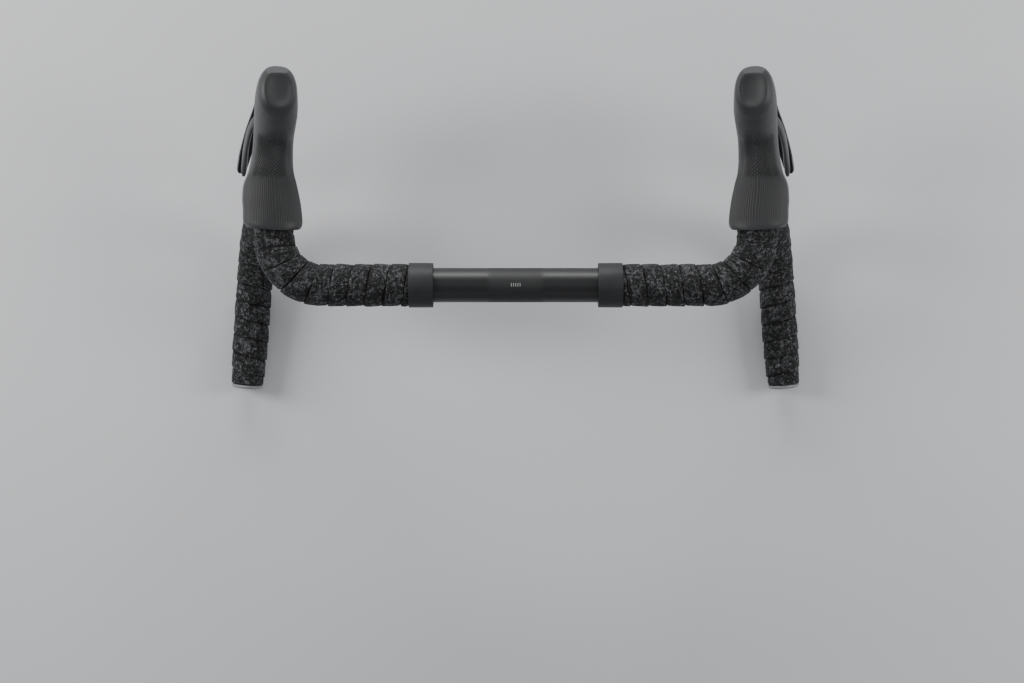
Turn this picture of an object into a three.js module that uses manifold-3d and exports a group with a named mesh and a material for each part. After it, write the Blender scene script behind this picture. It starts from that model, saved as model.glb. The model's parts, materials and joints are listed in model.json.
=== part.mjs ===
// Drop handlebar with bar tape and a hydraulic brake and shift lever on each side.
// Millimetres. Origin at the centre of the stem clamp zone, +X to the rider's right,
// +Y forward, +Z up. The right side is described; the left side is its mirror image.
import * as THREE from 'three';
import { mergeVertices } from 'three/addons/utils/BufferGeometryUtils.js';
import Module from 'manifold-3d';

const wasm = await Module();
wasm.setup();

// ---------------------------------------------------------------- driving dimensions
const CLAMP_RADIUS = 15.9;      // stem clamp zone
const TOPS_RADIUS = 13.5;       // tube under the taped tops
const GRIP_RADIUS = 11.9;       // tube in the ramp, hook and drop
const WALL = 2.2;
const CLAMP_ZONE_END = 80;      // half length of the full diameter zone
const CORNER_START = 178;       // where the tops bend forward
const CORNER_RADIUS = 45;
const RAMP_END = 47;            // forward end of the level ramp
const REACH = 70;               // foremost point of the hook
const HOOK_DEPTH = 34;          // from the ramp down to that foremost point
const DROP = 127;               // ramp to drop end, in the drop plane
const DROP_BACK = 93;           // drop end behind the tops
const DROP_OUTSWEEP = 5.5;
const FLARE = THREE.MathUtils.degToRad(15);

const TAPE_START = 84.6;
const FINISH_START = 76;
const FINISH_END = 98.5;
const FINISH_RADIUS = 20.9;
const GAP = 0.35;               // between touching pieces

const HOOD_WALL = 2.4;
const MECH_X = 2;               // middle plane of the lever mechanism
const BRAKE_PIVOT = { y: 156, z: 23 };
const SHIFT_Z = -6;             // height of the fore-and-aft shift pin and the spool
const CYLINDER_Z = 9;           // height of the master cylinder
const CAVITY_HALF = 9.6;
const CARRIER_HALF = 8;
const RESERVOIR = { x: 6, y: 170 };

const TUBE_SIDES = 12;
const RING_SIDES = 16;

// ---------------------------------------------------------------- materials
function finish(color, roughness, metalness = 0) {
  return new THREE.MeshStandardMaterial({ color, roughness, metalness });
}

const FINISH = {
  bar: () => finish(0x17181a, 0.42, 0.6),
  tape: () => finish(0x26272a, 0.8),
  band: () => finish(0x1c1d1f, 0.6),
  rubber: () => finish(0x2c2d2f, 0.75),
  blade: () => finish(0x15161a, 0.3, 0.5),
  plastic: () => finish(0x232426, 0.5),
  alloy: () => finish(0x9a9da1, 0.35, 1),
  steel: () => finish(0x8f9194, 0.3, 1),
  brass: () => finish(0xb08d4a, 0.35, 1),
};

// ---------------------------------------------------------------- meshes and solids
function signedVolume(position, index) {
  const [a, b, c] = [new THREE.Vector3(), new THREE.Vector3(), new THREE.Vector3()];
  let sum = 0;
  for (let i = 0; i < index.length; i += 3) {
    a.fromBufferAttribute(position, index[i]);
    b.fromBufferAttribute(position, index[i + 1]);
    c.fromBufferAttribute(position, index[i + 2]);
    sum += a.dot(b.cross(c));
  }
  return sum;
}

// Shared vertices, no triangles without area, faces pointing out.
function cleaned(geometry) {
  const bare = new THREE.BufferGeometry();
  bare.setAttribute('position', geometry.getAttribute('position').clone());
  if (geometry.index) bare.setIndex(geometry.index.clone());
  const merged = mergeVertices(bare, 1e-4);
  const old = merged.index.array;
  const kept = [];
  for (let i = 0; i < old.length; i += 3) {
    const [a, b, c] = [old[i], old[i + 1], old[i + 2]];
    if (a !== b && b !== c && c !== a) kept.push(a, b, c);
  }
  if (signedVolume(merged.getAttribute('position'), kept) < 0) kept.reverse();
  merged.setIndex(kept);
  return merged;
}

function solid(geometry) {
  const g = cleaned(geometry);
  return new wasm.Manifold(new wasm.Mesh({
    numProp: 3,
    vertProperties: Float32Array.from(g.getAttribute('position').array),
    triVerts: Uint32Array.from(g.index.array),
  }));
}

function geometryOf(shape) {
  const mesh = shape.getMesh();
  const geometry = new THREE.BufferGeometry();
  geometry.setAttribute('position', new THREE.BufferAttribute(Float32Array.from(mesh.vertProperties), 3));
  geometry.setIndex(Array.from(mesh.triVerts));
  return geometry;
}

const join = (...shapes) => shapes.reduce((sum, next) => sum.add(next));
const cut = (shape, ...tools) => tools.reduce((rest, tool) => rest.subtract(tool), shape);

function mirrored(geometry) {
  const copy = geometry.clone().scale(-1, 1, 1);
  copy.setIndex(Array.from(copy.index.array).reverse());
  return copy;
}

// ---------------------------------------------------------------- basic shapes
const vec = (x, y, z) => new THREE.Vector3(x, y, z);

function aimed(geometry, origin, direction) {
  const turn = new THREE.Quaternion().setFromUnitVectors(vec(0, 1, 0), direction.clone().normalize());
  return geometry.applyQuaternion(turn).translate(origin.x, origin.y, origin.z);
}

function rod(radius, from, to, sides = 10) {
  const along = to.clone().sub(from);
  const shape = new THREE.CylinderGeometry(radius, radius, along.length(), sides);
  shape.translate(0, along.length() / 2, 0);
  return solid(aimed(shape, from, along));
}

// profile: [radius, height] pairs, turned about the line from origin along direction
function turned(profile, origin, direction, sides = 12) {
  const points = profile.map(([r, h]) => new THREE.Vector2(r, h));
  return solid(aimed(new THREE.LatheGeometry(points, sides), origin, direction));
}

// the same for a ring: its profile closes on itself
const ringTurned = (profile, ...rest) => turned([...profile, profile[0]], ...rest);

function block(low, high) {
  const box = new THREE.BoxGeometry(high.x - low.x, high.y - low.y, high.z - low.z);
  return solid(box.translate((low.x + high.x) / 2, (low.y + high.y) / 2, (low.z + high.z) / 2));
}

function closedRings(rings, capStart, capEnd) {
  const sides = rings[0].length;
  const points = [...rings.flat(), capStart, capEnd];
  const index = [];
  const at = (ring, k) => ring * sides + (k % sides);
  for (let ring = 0; ring < rings.length - 1; ring += 1) {
    for (let k = 0; k < sides; k += 1) {
      index.push(at(ring, k), at(ring, k + 1), at(ring + 1, k));
      index.push(at(ring, k + 1), at(ring + 1, k + 1), at(ring + 1, k));
    }
  }
  const last = rings.length - 1;
  for (let k = 0; k < sides; k += 1) {
    index.push(points.length - 2, at(0, k + 1), at(0, k));
    index.push(points.length - 1, at(last, k), at(last, k + 1));
  }
  const geometry = new THREE.BufferGeometry().setFromPoints(points);
  geometry.setIndex(index);
  return solid(geometry);
}

// A station is an oval ring: [y, z, tilt in degrees, x, half width, half height], and its
// own squareness if that differs from the loft's.
// At tilt 0 the ring faces forward, at 90 it faces up, at -90 it faces down.
function ovalRing([y, z, tilt, x, w, h, own], sides, loftPower) {
  const lean = THREE.MathUtils.degToRad(tilt);
  const power = own ?? loftPower;
  const ring = [];
  for (let k = 0; k < sides; k += 1) {
    const [c, s] = [Math.cos(2 * Math.PI * k / sides), Math.sin(2 * Math.PI * k / sides)];
    const across = w * Math.sign(c) * Math.abs(c) ** (2 / power);
    const up = h * Math.sign(s) * Math.abs(s) ** (2 / power);
    ring.push(vec(x + across, y - Math.sin(lean) * up, z + Math.cos(lean) * up));
  }
  return ring;
}

function loft(stations, sides = RING_SIDES, power = 2.4, dish = 0) {
  const rings = stations.map((station) => ovalRing(station, sides, power));
  const middle = ([y, z, , x], sink) => vec(x, y, z - sink);
  return closedRings(rings, middle(stations[0], 0), middle(stations.at(-1), dish));
}

// ---------------------------------------------------------------- the bar's centre line
function dropFrame(side) {
  const frame = new THREE.Group();
  frame.position.set(side * (CORNER_START + CORNER_RADIUS), 0, 0);
  frame.rotation.y = -side * FLARE;
  frame.updateMatrix();
  return frame;
}

class OvalArc extends THREE.Curve {
  constructor(centre, u, v, end) {
    super();
    Object.assign(this, { centre, u, v, end });
  }

  getPoint(t, target = vec(0, 0, 0)) {
    const angle = t * this.end;
    return target.copy(this.centre)
      .addScaledVector(this.u, Math.sin(angle)).addScaledVector(this.v, Math.cos(angle));
  }
}

function halfLine(side) {
  const { matrix } = dropFrame(side);
  const inDrop = (x, y, z) => vec(side * x, y, z).applyMatrix4(matrix);
  const dropWay = (x, y, z) => inDrop(x, y, z).sub(inDrop(0, 0, 0));
  const hookLow = vec(0, 8, -116);
  const dropEnd = vec(DROP_OUTSWEEP, -DROP_BACK, -DROP);
  const into = dropEnd.clone().sub(hookLow).normalize().multiplyScalar(-42).add(hookLow);
  const cornerEnd = vec(side * (CORNER_START + CORNER_RADIUS), CORNER_RADIUS, 0);
  const line = new THREE.CurvePath();
  line.add(new THREE.LineCurve3(vec(0, 0, 0), vec(side * CORNER_START, 0, 0)));
  line.add(new OvalArc(vec(side * CORNER_START, CORNER_RADIUS, 0), vec(side * CORNER_RADIUS, 0, 0),
    vec(0, -CORNER_RADIUS, 0), Math.PI / 2));
  line.add(new THREE.LineCurve3(cornerEnd, inDrop(0, RAMP_END, 0)));
  line.add(new OvalArc(inDrop(0, RAMP_END, -HOOK_DEPTH), dropWay(0, REACH - RAMP_END, 0),
    dropWay(0, 0, HOOK_DEPTH), Math.PI / 2));
  line.add(new THREE.CubicBezierCurve3(inDrop(0, REACH, -HOOK_DEPTH), inDrop(0, REACH, -76),
    inDrop(into.x, into.y, into.z), inDrop(hookLow.x, hookLow.y, hookLow.z)));
  line.add(new THREE.LineCurve3(inDrop(hookLow.x, hookLow.y, hookLow.z),
    inDrop(dropEnd.x, dropEnd.y, dropEnd.z)));
  return line;
}

const HALF = { 1: halfLine(1), '-1': halfLine(-1) };
const HALF_LENGTH = HALF[1].getLength();
const LENGTHS = HALF[1].getCurveLengths();

// Distances from the centre where every tube on the bar has a ring: ends of straight
// stretches, and evenly spaced steps through the bends.
function barStops() {
  const stops = [0, FINISH_START, CLAMP_ZONE_END, 110, 150, CORNER_START];
  const steps = [0, 7, 1, 6, 8, 1];
  for (let i = 1; i < LENGTHS.length; i += 1) {
    for (let k = 1; k <= steps[i]; k += 1) {
      stops.push(LENGTHS[i - 1] + (LENGTHS[i] - LENGTHS[i - 1]) * k / steps[i]);
    }
  }
  return stops;
}

const STOPS = barStops();
const stopsBetween = (from, to) => [from, ...STOPS.filter((s) => s > from + 1 && s < to - 1), to];

function table(pairs) {
  return (s) => {
    const d = Math.abs(s);
    const next = pairs.findIndex(([at]) => at > d);
    if (next === -1) return pairs.at(-1)[1];
    if (next === 0) return pairs[0][1];
    const [[a, ra], [b, rb]] = [pairs[next - 1], pairs[next]];
    return ra + (rb - ra) * (d - a) / (b - a);
  };
}

const barRadius = table([[CLAMP_ZONE_END, CLAMP_RADIUS], [110, TOPS_RADIUS], [150, TOPS_RADIUS],
  [CORNER_START + 12, GRIP_RADIUS]]);
const tapeRadius = table([[FINISH_END, 19.2], [FINISH_END + 1, 20], [CORNER_START, 19.8],
  [LENGTHS[2], 19.2], [LENGTHS[3], 17.9], [HALF_LENGTH - 30, 17.4], [HALF_LENGTH, 15.6]]);

// A hollow or full tube along the centre line of one side (side 1 or -1) or of both (side 0).
function barTube(side, stops, outer, inner, sides = TUBE_SIDES) {
  const swell = 1 / Math.cos(Math.PI / sides);
  const pointAt = (s) => HALF[side || (s < 0 ? -1 : 1)].getPoint(Math.abs(s) / HALF_LENGTH);
  const normal = vec(0, 0, 1);
  let before = null;
  const rings = { outer: [], inner: [] };
  for (const s of stops) {
    const [back, ahead] = [pointAt(Math.max(s - 0.3, -HALF_LENGTH)), pointAt(Math.min(s + 0.3, HALF_LENGTH))];
    const tangent = ahead.sub(back).normalize();
    if (before) normal.applyQuaternion(new THREE.Quaternion().setFromUnitVectors(before, tangent));
    normal.addScaledVector(tangent, -normal.dot(tangent)).normalize();
    before = tangent;
    const binormal = tangent.clone().cross(normal);
    const ring = (radius) => Array.from({ length: sides }, (_, k) => pointAt(s)
      .addScaledVector(normal, radius * Math.cos(2 * Math.PI * k / sides))
      .addScaledVector(binormal, radius * Math.sin(2 * Math.PI * k / sides)));
    rings.outer.push(ring(outer(s)));
    if (inner) rings.inner.push(ring(inner(s) * swell));
  }
  if (!inner) return closedRings(rings.outer, pointAt(stops[0]), pointAt(stops.at(-1)));
  return hollowRings([...rings.outer, ...rings.inner.reverse()]);
}

// Rings that go out and come back inside, and close on the first ring again.
function hollowRings(rings) {
  const sides = rings[0].length;
  const index = [];
  const at = (ring, k) => (ring % rings.length) * sides + (k % sides);
  for (let ring = 0; ring < rings.length; ring += 1) {
    for (let k = 0; k < sides; k += 1) {
      index.push(at(ring, k), at(ring, k + 1), at(ring + 1, k));
      index.push(at(ring, k + 1), at(ring + 1, k + 1), at(ring + 1, k));
    }
  }
  const geometry = new THREE.BufferGeometry().setFromPoints(rings.flat());
  geometry.setIndex(index);
  return solid(geometry);
}

// ---------------------------------------------------------------- bar
function handlebar() {
  const right = stopsBetween(0, HALF_LENGTH);
  const stops = [...right.slice(1).reverse().map((s) => -s), ...right];
  return barTube(0, stops, barRadius, (s) => barRadius(s) - WALL);
}

// ---------------------------------------------------------------- lever body and hood
const HOOD_STATIONS = [
  [50, 0, 0, 1, 24.6, 22.9],
  [54.5, -0.4, 0, 1.2, 27.1, 23.8],
  [68, -1.4, 0, 1.6, 26.8, 24.6],
  [80, -2.4, 0, 2.6, 26.2, 25],
  [93, -3, 0, 3.3, 24.2, 24],
  [105, -2, 5, 2.5, 20.5, 22],
  [122, 1, 12, 1.5, 18.5, 20.5],
  [138, 7, 28, 1.5, 18.2, 22.5],
  [152, 19, 50, 2.2, 19, 25.5],
  [163, 34, 68, 3.4, 19.6, 26.5],
  [170, 50, 80, 5.2, 19, 25],
  [173, 60, 86, 6.2, 17, 22],
  [174, 65, 88, 6.4, 13.5, 17],
];
const hoodPower = (tilt) => 2.4 - 0.4 * (tilt / 88);
const HOOD_DISH = 0.8;
const BODY_START = 68;

// The hood's outer form shrunk by inset on all sides, from the station at y = start.
function hoodForm(inset, start, sides) {
  const last = HOOD_STATIONS.length - 1;
  const stations = HOOD_STATIONS.map(([y, z, tilt, x, w, h], i) => {
    const sunk = i >= last - 1 ? z - inset : z;
    return [y, sunk, tilt, x, w - inset, h - inset, hoodPower(tilt)];
  }).filter(([y]) => y >= start);
  stations[0][0] = start;
  return loft(stations, sides, 2.4, inset ? 0 : HOOD_DISH);
}

const HOOK_ANGLE = THREE.MathUtils.degToRad(40);
const CLAMP_AT = vec(0, RAMP_END + (REACH - RAMP_END) * Math.sin(HOOK_ANGLE),
  -HOOK_DEPTH + HOOK_DEPTH * Math.cos(HOOK_ANGLE));
const CLAMP_ALONG = vec(0, (REACH - RAMP_END) * Math.cos(HOOK_ANGLE),
  -HOOK_DEPTH * Math.sin(HOOK_ANGLE)).normalize();
const CLAMP_OUT = vec(0, -CLAMP_ALONG.z, CLAMP_ALONG.y);
const outFromBar = (distance) => CLAMP_AT.clone().addScaledVector(CLAMP_OUT, distance);
const BAND_BORE = GRIP_RADIUS + 1.45;  // the straight band clears the curved hook
const BAND_RADIUS = BAND_BORE + 1.4;
const BAND_HALF = 5.5;
const EAR = { from: 12.6, to: 22, halfWidth: 6, halfLength: 4.5 };
const BOLT = { shank: 2.5, head: 4.2, seat: 28, top: 32.5, tip: 15.2 };

function earBlock(grow) {
  const size = [2 * (EAR.halfWidth + grow), EAR.to - EAR.from + 2 * grow, 2 * (EAR.halfLength + grow)];
  const box = new THREE.BoxGeometry(...size).translate(0, (EAR.from + EAR.to) / 2, 0);
  return solid(aimed(box, CLAMP_AT, CLAMP_OUT));
}

function bandEnvelope() {
  const ends = [-1, 1].map((way) => CLAMP_AT.clone().addScaledVector(CLAMP_ALONG, way * (BAND_HALF + GAP)));
  return rod((BAND_RADIUS + GAP) / Math.cos(Math.PI / 18), ...ends, 18);
}

// Tube of the given radius function around the bar near the lever, in the drop frame.
function barNearLever(radius) {
  const stops = stopsBetween(LENGTHS[0] + 20, LENGTHS[3] + 45);
  const swell = 1 / Math.cos(Math.PI / TUBE_SIDES);
  const world = barTube(1, stops, (s) => (radius(s) + GAP) * swell, null);
  return solid(geometryOf(world).applyMatrix4(dropFrame(1).matrix.clone().invert()));
}

const along = (y, z, x = MECH_X) => vec(x, y, z);
const rodAlong = (radius, fromY, toY, z, x = MECH_X, sides = 10) => (
  rod(radius, along(fromY, z, x), along(toY, z, x), sides));

function hood() {
  const rearCut = solid(new THREE.BoxGeometry(80, 90, 60).rotateX(-0.5).translate(0, 44, -48));
  const frontCut = block(vec(MECH_X - 14, 143, -60), vec(MECH_X + 14, 240, 14));
  return cut(hoodForm(0, 50), hoodForm(HOOD_WALL, 46, 12), barNearLever(tapeRadius), rearCut, frontCut);
}

function leverBody() {
  const form = hoodForm(HOOD_WALL + GAP, BODY_START, 12);
  const pivot = (x) => vec(x, BRAKE_PIVOT.y, BRAKE_PIVOT.z);
  return cut(
    form,
    block(vec(-60, 0, 56), vec(60, 300, 100)),
    barNearLever(barRadius),
    bandEnvelope(),
    earBlock(GAP),
    rod(BOLT.shank + GAP, outFromBar(EAR.to - 1), outFromBar(BOLT.top)),
    rod(BOLT.head + GAP, outFromBar(BOLT.seat - GAP), outFromBar(60)),
    block(vec(MECH_X - CAVITY_HALF, 143, -60), vec(MECH_X + CAVITY_HALF, 240, 30)),
    rod(2.8, pivot(-40), pivot(40)),
    rodAlong(5.85, 98, 144, CYLINDER_Z),
    rodAlong(8.2, 123.5, 144, SHIFT_Z),
    rodAlong(2.35, 118, 124, SHIFT_Z),
    rodAlong(4.5, 60, 88.3, 0, -10),
    rodAlong(3.2, 88, 97, 0, -10),
    rod(10.4, vec(RESERVOIR.x, RESERVOIR.y, 36), vec(RESERVOIR.x, RESERVOIR.y, 60), 14),
    rod(2.35, vec(6, 186, 45.5), vec(6, 186, 60)),
  );
}

// ---------------------------------------------------------------- tape, finishing tape
function barTape(bodyShape) {
  const tube = barTube(1, stopsBetween(TAPE_START, HALF_LENGTH - 0.4).toSpliced(1, 0, FINISH_END, FINISH_END + 1),
    tapeRadius, (s) => barRadius(s) + GAP);
  const inDrop = solid(geometryOf(tube).applyMatrix4(dropFrame(1).matrix.clone().invert()));
  const left = cut(inDrop, bodyShape, bandEnvelope(), earBlock(GAP));
  return left;
}

function finishingTape() {
  const overTape = (s) => (s > TAPE_START - 0.6 ? 19.2 + GAP : barRadius(s) + GAP);
  const stops = [FINISH_START, TAPE_START - 0.9, TAPE_START - 0.4, FINISH_END];
  return barTube(1, stops, () => FINISH_RADIUS, overTape, 20);
}

// ---------------------------------------------------------------- bar end plug
function plugPlace() {
  const line = HALF[1];
  return { end: line.getPoint(1), out: line.getPoint(1).sub(line.getPoint(0.995)).normalize() };
}

function endPlug() {
  const { end, out } = plugPlace();
  const profile = [[2.4, -3], [6, -3], [6, 0.35], [14.2, 0.35], [15, 1.2], [14.8, 2.8], [13, 3.9],
    [4.6, 4.3], [4.6, 1.6], [2.4, 1.6]];
  return ringTurned(profile, end, out, 20);
}

function plugExpander() {
  const { end, out } = plugPlace();
  return ringTurned([[2.4, -22], [8, -22], [9.1, -20], [9.1, -5], [8, -3.4], [2.4, -3.4]], end, out);
}

function plugScrew() {
  const { end, out } = plugPlace();
  return turned([[0, -26], [2, -26], [2, 1.95], [4.2, 1.95], [4.2, 4], [0, 4]], end, out, 12);
}

// ---------------------------------------------------------------- clamp
function clampBand() {
  const inner = BAND_BORE / Math.cos(Math.PI / 18);
  const band = ringTurned([[inner, -BAND_HALF], [BAND_RADIUS, -BAND_HALF], [BAND_RADIUS, BAND_HALF],
    [inner, BAND_HALF]], CLAMP_AT, CLAMP_ALONG, 18);
  const slot = new THREE.BoxGeometry(30, 5.2, 6.6).translate(0, 17.6, 0);
  return cut(join(band, earBlock(0)), solid(aimed(slot, CLAMP_AT, CLAMP_OUT)),
    rod(BOLT.shank + GAP, outFromBar(14.4), outFromBar(30)));
}

function clampNut() {
  const nut = new THREE.BoxGeometry(11, 4.4, 5.9).translate(0, 17.6, 0);
  return cut(solid(aimed(nut, CLAMP_AT, CLAMP_OUT)), rod(BOLT.shank + GAP, outFromBar(12), outFromBar(24)));
}

function clampBolt() {
  const shape = turned([[0, BOLT.tip], [BOLT.shank, BOLT.tip], [BOLT.shank, BOLT.seat],
    [BOLT.head, BOLT.seat], [BOLT.head, BOLT.top], [0, BOLT.top]], CLAMP_AT, CLAMP_OUT);
  return cut(shape, rod(2.3, outFromBar(BOLT.seat + 1.2), outFromBar(BOLT.top + 2), 6));
}

// ---------------------------------------------------------------- lever mechanism
function carrier() {
  const outline = [[151, 28], [160, 29], [166, 25], [170, 17], [171, 4], [177, -1], [177, -12.5],
    [152, -12.5], [152, -1], [149.5, 6.5], [149.5, 11.5], [150.5, 20]];
  const shape = new THREE.Shape(outline.map(([y, z]) => new THREE.Vector2(y, z)));
  const plate = new THREE.ExtrudeGeometry(shape, { depth: 2 * CARRIER_HALF, bevelEnabled: false });
  // the extrusion runs along local Z: turn it so that it runs along X, with Y forward and Z up
  const basis = new THREE.Matrix4().makeBasis(vec(0, 1, 0), vec(0, 0, 1), vec(1, 0, 0));
  plate.applyMatrix4(basis).translate(MECH_X - CARRIER_HALF, 0, 0);
  const lugSide = (way) => {
    const xs = [MECH_X + way * 6.5, MECH_X + way * 20].sort((a, b) => a - b);
    return block(vec(xs[0], 140, -30), vec(xs[1], 190, 1.5));
  };
  return cut(
    solid(plate),
    lugSide(1),
    lugSide(-1),
    block(vec(-20, 156.4, -30), vec(30, 172.6, 1.5)),
    rodAlong(2.55, 140, 190, SHIFT_Z),
    rod(2.85, vec(-20, BRAKE_PIVOT.y, BRAKE_PIVOT.z), vec(30, BRAKE_PIVOT.y, BRAKE_PIVOT.z)),
    rodAlong(1.95, 159.5, 190, 14, MECH_X, 12),
  );
}

const brakePin = () => rod(2.5, vec(-10.5, BRAKE_PIVOT.y, BRAKE_PIVOT.z),
  vec(15.5, BRAKE_PIVOT.y, BRAKE_PIVOT.z));
const shiftPin = () => rodAlong(2.2, 151.5, 177.5, SHIFT_Z);

function returnSpring() {
  const from = vec(MECH_X + CARRIER_HALF + GAP, BRAKE_PIVOT.y, BRAKE_PIVOT.z);
  return ringTurned([[3.2, 0], [4.8, 0], [4.8, 0.9], [3.2, 0.9]], from, vec(1, 0, 0), 12);
}

const reachScrew = () => turned([[0, 160], [1.6, 160], [1.6, 171.4], [2.8, 171.4], [2.8, 173.2], [0, 173.2]],
  vec(MECH_X, 0, 14), vec(0, 1, 0), 12);

const BLADE_STATIONS = [
  [182, 5, -88, 2, 9, 2.4],
  [183.2, -8, -94, 2.4, 9, 2.9],
  [177.5, -26, -112, 3.6, 8.5, 3],
  [164.5, -45, -128, 5.8, 7.8, 3],
  [147.5, -65, -132, 10.2, 7, 3],
  [129, -83.5, -138, 13.6, 6.2, 3],
  [117.5, -94, -142, 15.2, 5.4, 2.6],
  [112.6, -98, -144, 15.9, 4.2, 2],
  [110.6, -99.5, -145, 16.2, 2.4, 1.4],
];

function brakeBlade() {
  const arm = [[167.3, -8, -88, 2, 4, 3.6], [169.2, -17, -74, 3.2, 4, 3.4], [177.2, -25.5, -48, 3.3, 4, 3]];
  return cut(
    join(loft(BLADE_STATIONS, 12, 2.6), loft(arm, 8, 3), rodAlong(5.4, 163.2, 172.2, SHIFT_Z)),
    rodAlong(2.55, 140, 176.9, SHIFT_Z),
  );
}

function bladeCap() {
  const stations = BLADE_STATIONS.slice(0, 3).map(([y, z, tilt, x, w, h]) => {
    const lean = THREE.MathUtils.degToRad(tilt);
    const out = h + GAP + 0.7;
    return [y - Math.sin(lean) * out, z + Math.cos(lean) * out, tilt, x, w - 1.6, 0.6];
  });
  return loft(stations, 12, 3);
}

function releasePaddle() {
  const fin = [
    [159.6, -9.5, -90, 3, 3, 2.6],
    [159.4, -17.5, -92, 6, 3, 2.6],
    [156, -25, -115, 12.4, 2.1, 3.6],
    [147, -35, -128, 16.6, 2.2, 5.6],
    [132, -49, -138, 18.4, 2.4, 6],
    [118, -60.5, -142, 18.2, 2.8, 4.4],
    [109, -67, -145, 18.1, 2.5, 2.4],
    [105.6, -69.4, -146, 18, 1.5, 1.3],
  ];
  return cut(join(loft(fin, 10, 2.4), rodAlong(5.2, 156.8, 162.5, SHIFT_Z)),
    rodAlong(2.55, 140, 180, SHIFT_Z));
}

// ---------------------------------------------------------------- master cylinder, spool, reservoir
const turnedAlongY = (profile, z, x, sides = 12) => turned(profile, vec(x, 0, z), vec(0, 1, 0), sides);

const piston = () => turnedAlongY([[0, 119], [5.3, 119], [5.3, 120.6], [4, 120.6], [4, 123.4], [5.3, 123.4],
  [5.3, 134], [0, 134]], CYLINDER_Z, MECH_X);
const pistonSeal = () => ringTurned([[4.4, 121], [5.4, 121], [5.4, 123], [4.4, 123]],
  vec(MECH_X, 0, CYLINDER_Z), vec(0, 1, 0), 12);
const pushrod = () => turnedAlongY([[0, 134.4], [4.2, 134.4], [4.2, 136], [2, 137], [2, 148.2], [1.2, 148.9],
  [0, 148.9]], CYLINDER_Z, MECH_X, 10);

class Helix extends THREE.Curve {
  getPoint(t, target = vec(0, 0, 0)) {
    const turn = 2 * Math.PI * 4 * t;
    return target.set(MECH_X + 3.7 * Math.cos(turn), 99.6 + 12.4 * t, CYLINDER_Z + 3.7 * Math.sin(turn));
  }
}

function pistonSpring() {
  const section = new THREE.Shape(Array.from({ length: 5 }, (_, k) => (
    new THREE.Vector2(0.65 * Math.cos(1.2566 * k), 0.65 * Math.sin(1.2566 * k)))));
  return solid(new THREE.ExtrudeGeometry(section, { steps: 32, extrudePath: new Helix(), bevelEnabled: false }));
}

const cableSpool = () => ringTurned([[2.4, 124.4], [7.4, 124.4], [7.4, 126], [5.6, 127.6], [5.6, 130],
  [7.4, 131.6], [7.4, 134], [2.4, 134]], vec(MECH_X, 0, SHIFT_Z), vec(0, 1, 0), 14);
const spoolAxle = () => rodAlong(2, 118.5, 141, SHIFT_Z);

function hoseNut() {
  const shape = join(rodAlong(4.1, 79, 88, 0, -10, 6), rodAlong(2.85, 87.5, 96.5, 0, -10));
  return cut(shape, rodAlong(1.4, 70, 100, 0, -10, 8));
}

const overReservoir = (profile, sides = 14) => turned(profile, vec(RESERVOIR.x, RESERVOIR.y, 0),
  vec(0, 0, 1), sides);
const reservoirCover = () => overReservoir([[0, 56.35], [12, 56.35], [12, 58], [11.2, 58.8], [0, 58.8]]);
const diaphragm = () => overReservoir([[0, 45], [7, 45], [7.8, 46], [7.8, 53.4], [9.8, 54.4], [9.8, 55.6],
  [7, 55.6], [6.2, 54.6], [6.2, 46.6], [0, 46.6]]);
const bleedScrew = () => turned([[0, 46], [2, 46], [2, 56.35], [3.2, 56.35], [3.2, 57.8], [0, 57.8]],
  vec(6, 186, 0), vec(0, 0, 1), 12);

// ---------------------------------------------------------------- assembly
const part = new THREE.Group();

function add(parent, name, shape, material, side = 1) {
  const geometry = geometryOf(shape);
  const mesh = new THREE.Mesh(side === 1 ? geometry : mirrored(geometry), material());
  mesh.geometry.computeVertexNormals();
  mesh.name = name;
  parent.add(mesh);
}

// In world coordinates, on the bar's own line.
const ON_BAR = [
  ['finishing_tape', finishingTape(), FINISH.band],
  ['end_plug', endPlug(), FINISH.plastic],
  ['plug_expander', plugExpander(), FINISH.rubber],
  ['plug_screw', plugScrew(), FINISH.steel],
];

// In the drop frame: x outboard, y forward, z up in the flared drop plane.
const ON_LEVER = [
  ['bar_tape', barTape(hoodForm(HOOD_WALL, BODY_START - GAP, 12)), FINISH.tape],
  ['hood', hood(), FINISH.rubber],
  ['lever_body', leverBody(), FINISH.plastic],
  ['clamp_band', clampBand(), FINISH.steel],
  ['clamp_nut', clampNut(), FINISH.steel],
  ['clamp_bolt', clampBolt(), FINISH.steel],
  ['lever_carrier', carrier(), FINISH.alloy],
  ['brake_pin', brakePin(), FINISH.steel],
  ['shift_pin', shiftPin(), FINISH.steel],
  ['return_spring', returnSpring(), FINISH.steel],
  ['reach_screw', reachScrew(), FINISH.steel],
  ['brake_blade', brakeBlade(), FINISH.blade],
  ['blade_cap', bladeCap(), FINISH.plastic],
  ['release_paddle', releasePaddle(), FINISH.plastic],
  ['piston', piston(), FINISH.alloy],
  ['piston_seal', pistonSeal(), FINISH.rubber],
  ['pushrod', pushrod(), FINISH.steel],
  ['piston_spring', pistonSpring(), FINISH.steel],
  ['cable_spool', cableSpool(), FINISH.alloy],
  ['spool_axle', spoolAxle(), FINISH.steel],
  ['hose_nut', hoseNut(), FINISH.brass],
  ['reservoir_cover', reservoirCover(), FINISH.plastic],
  ['diaphragm', diaphragm(), FINISH.rubber],
  ['bleed_screw', bleedScrew(), FINISH.steel],
];

add(part, 'handlebar', handlebar(), FINISH.bar);
for (const [side, letter] of [[1, 'R'], [-1, 'L']]) {
  const lever = dropFrame(side);
  for (const [name, shape, material] of ON_BAR) add(part, `${name}_${letter}`, shape, material, side);
  for (const [name, shape, material] of ON_LEVER) add(lever, `${name}_${letter}`, shape, material, side);
  part.add(lever);
}

export default part;
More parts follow.
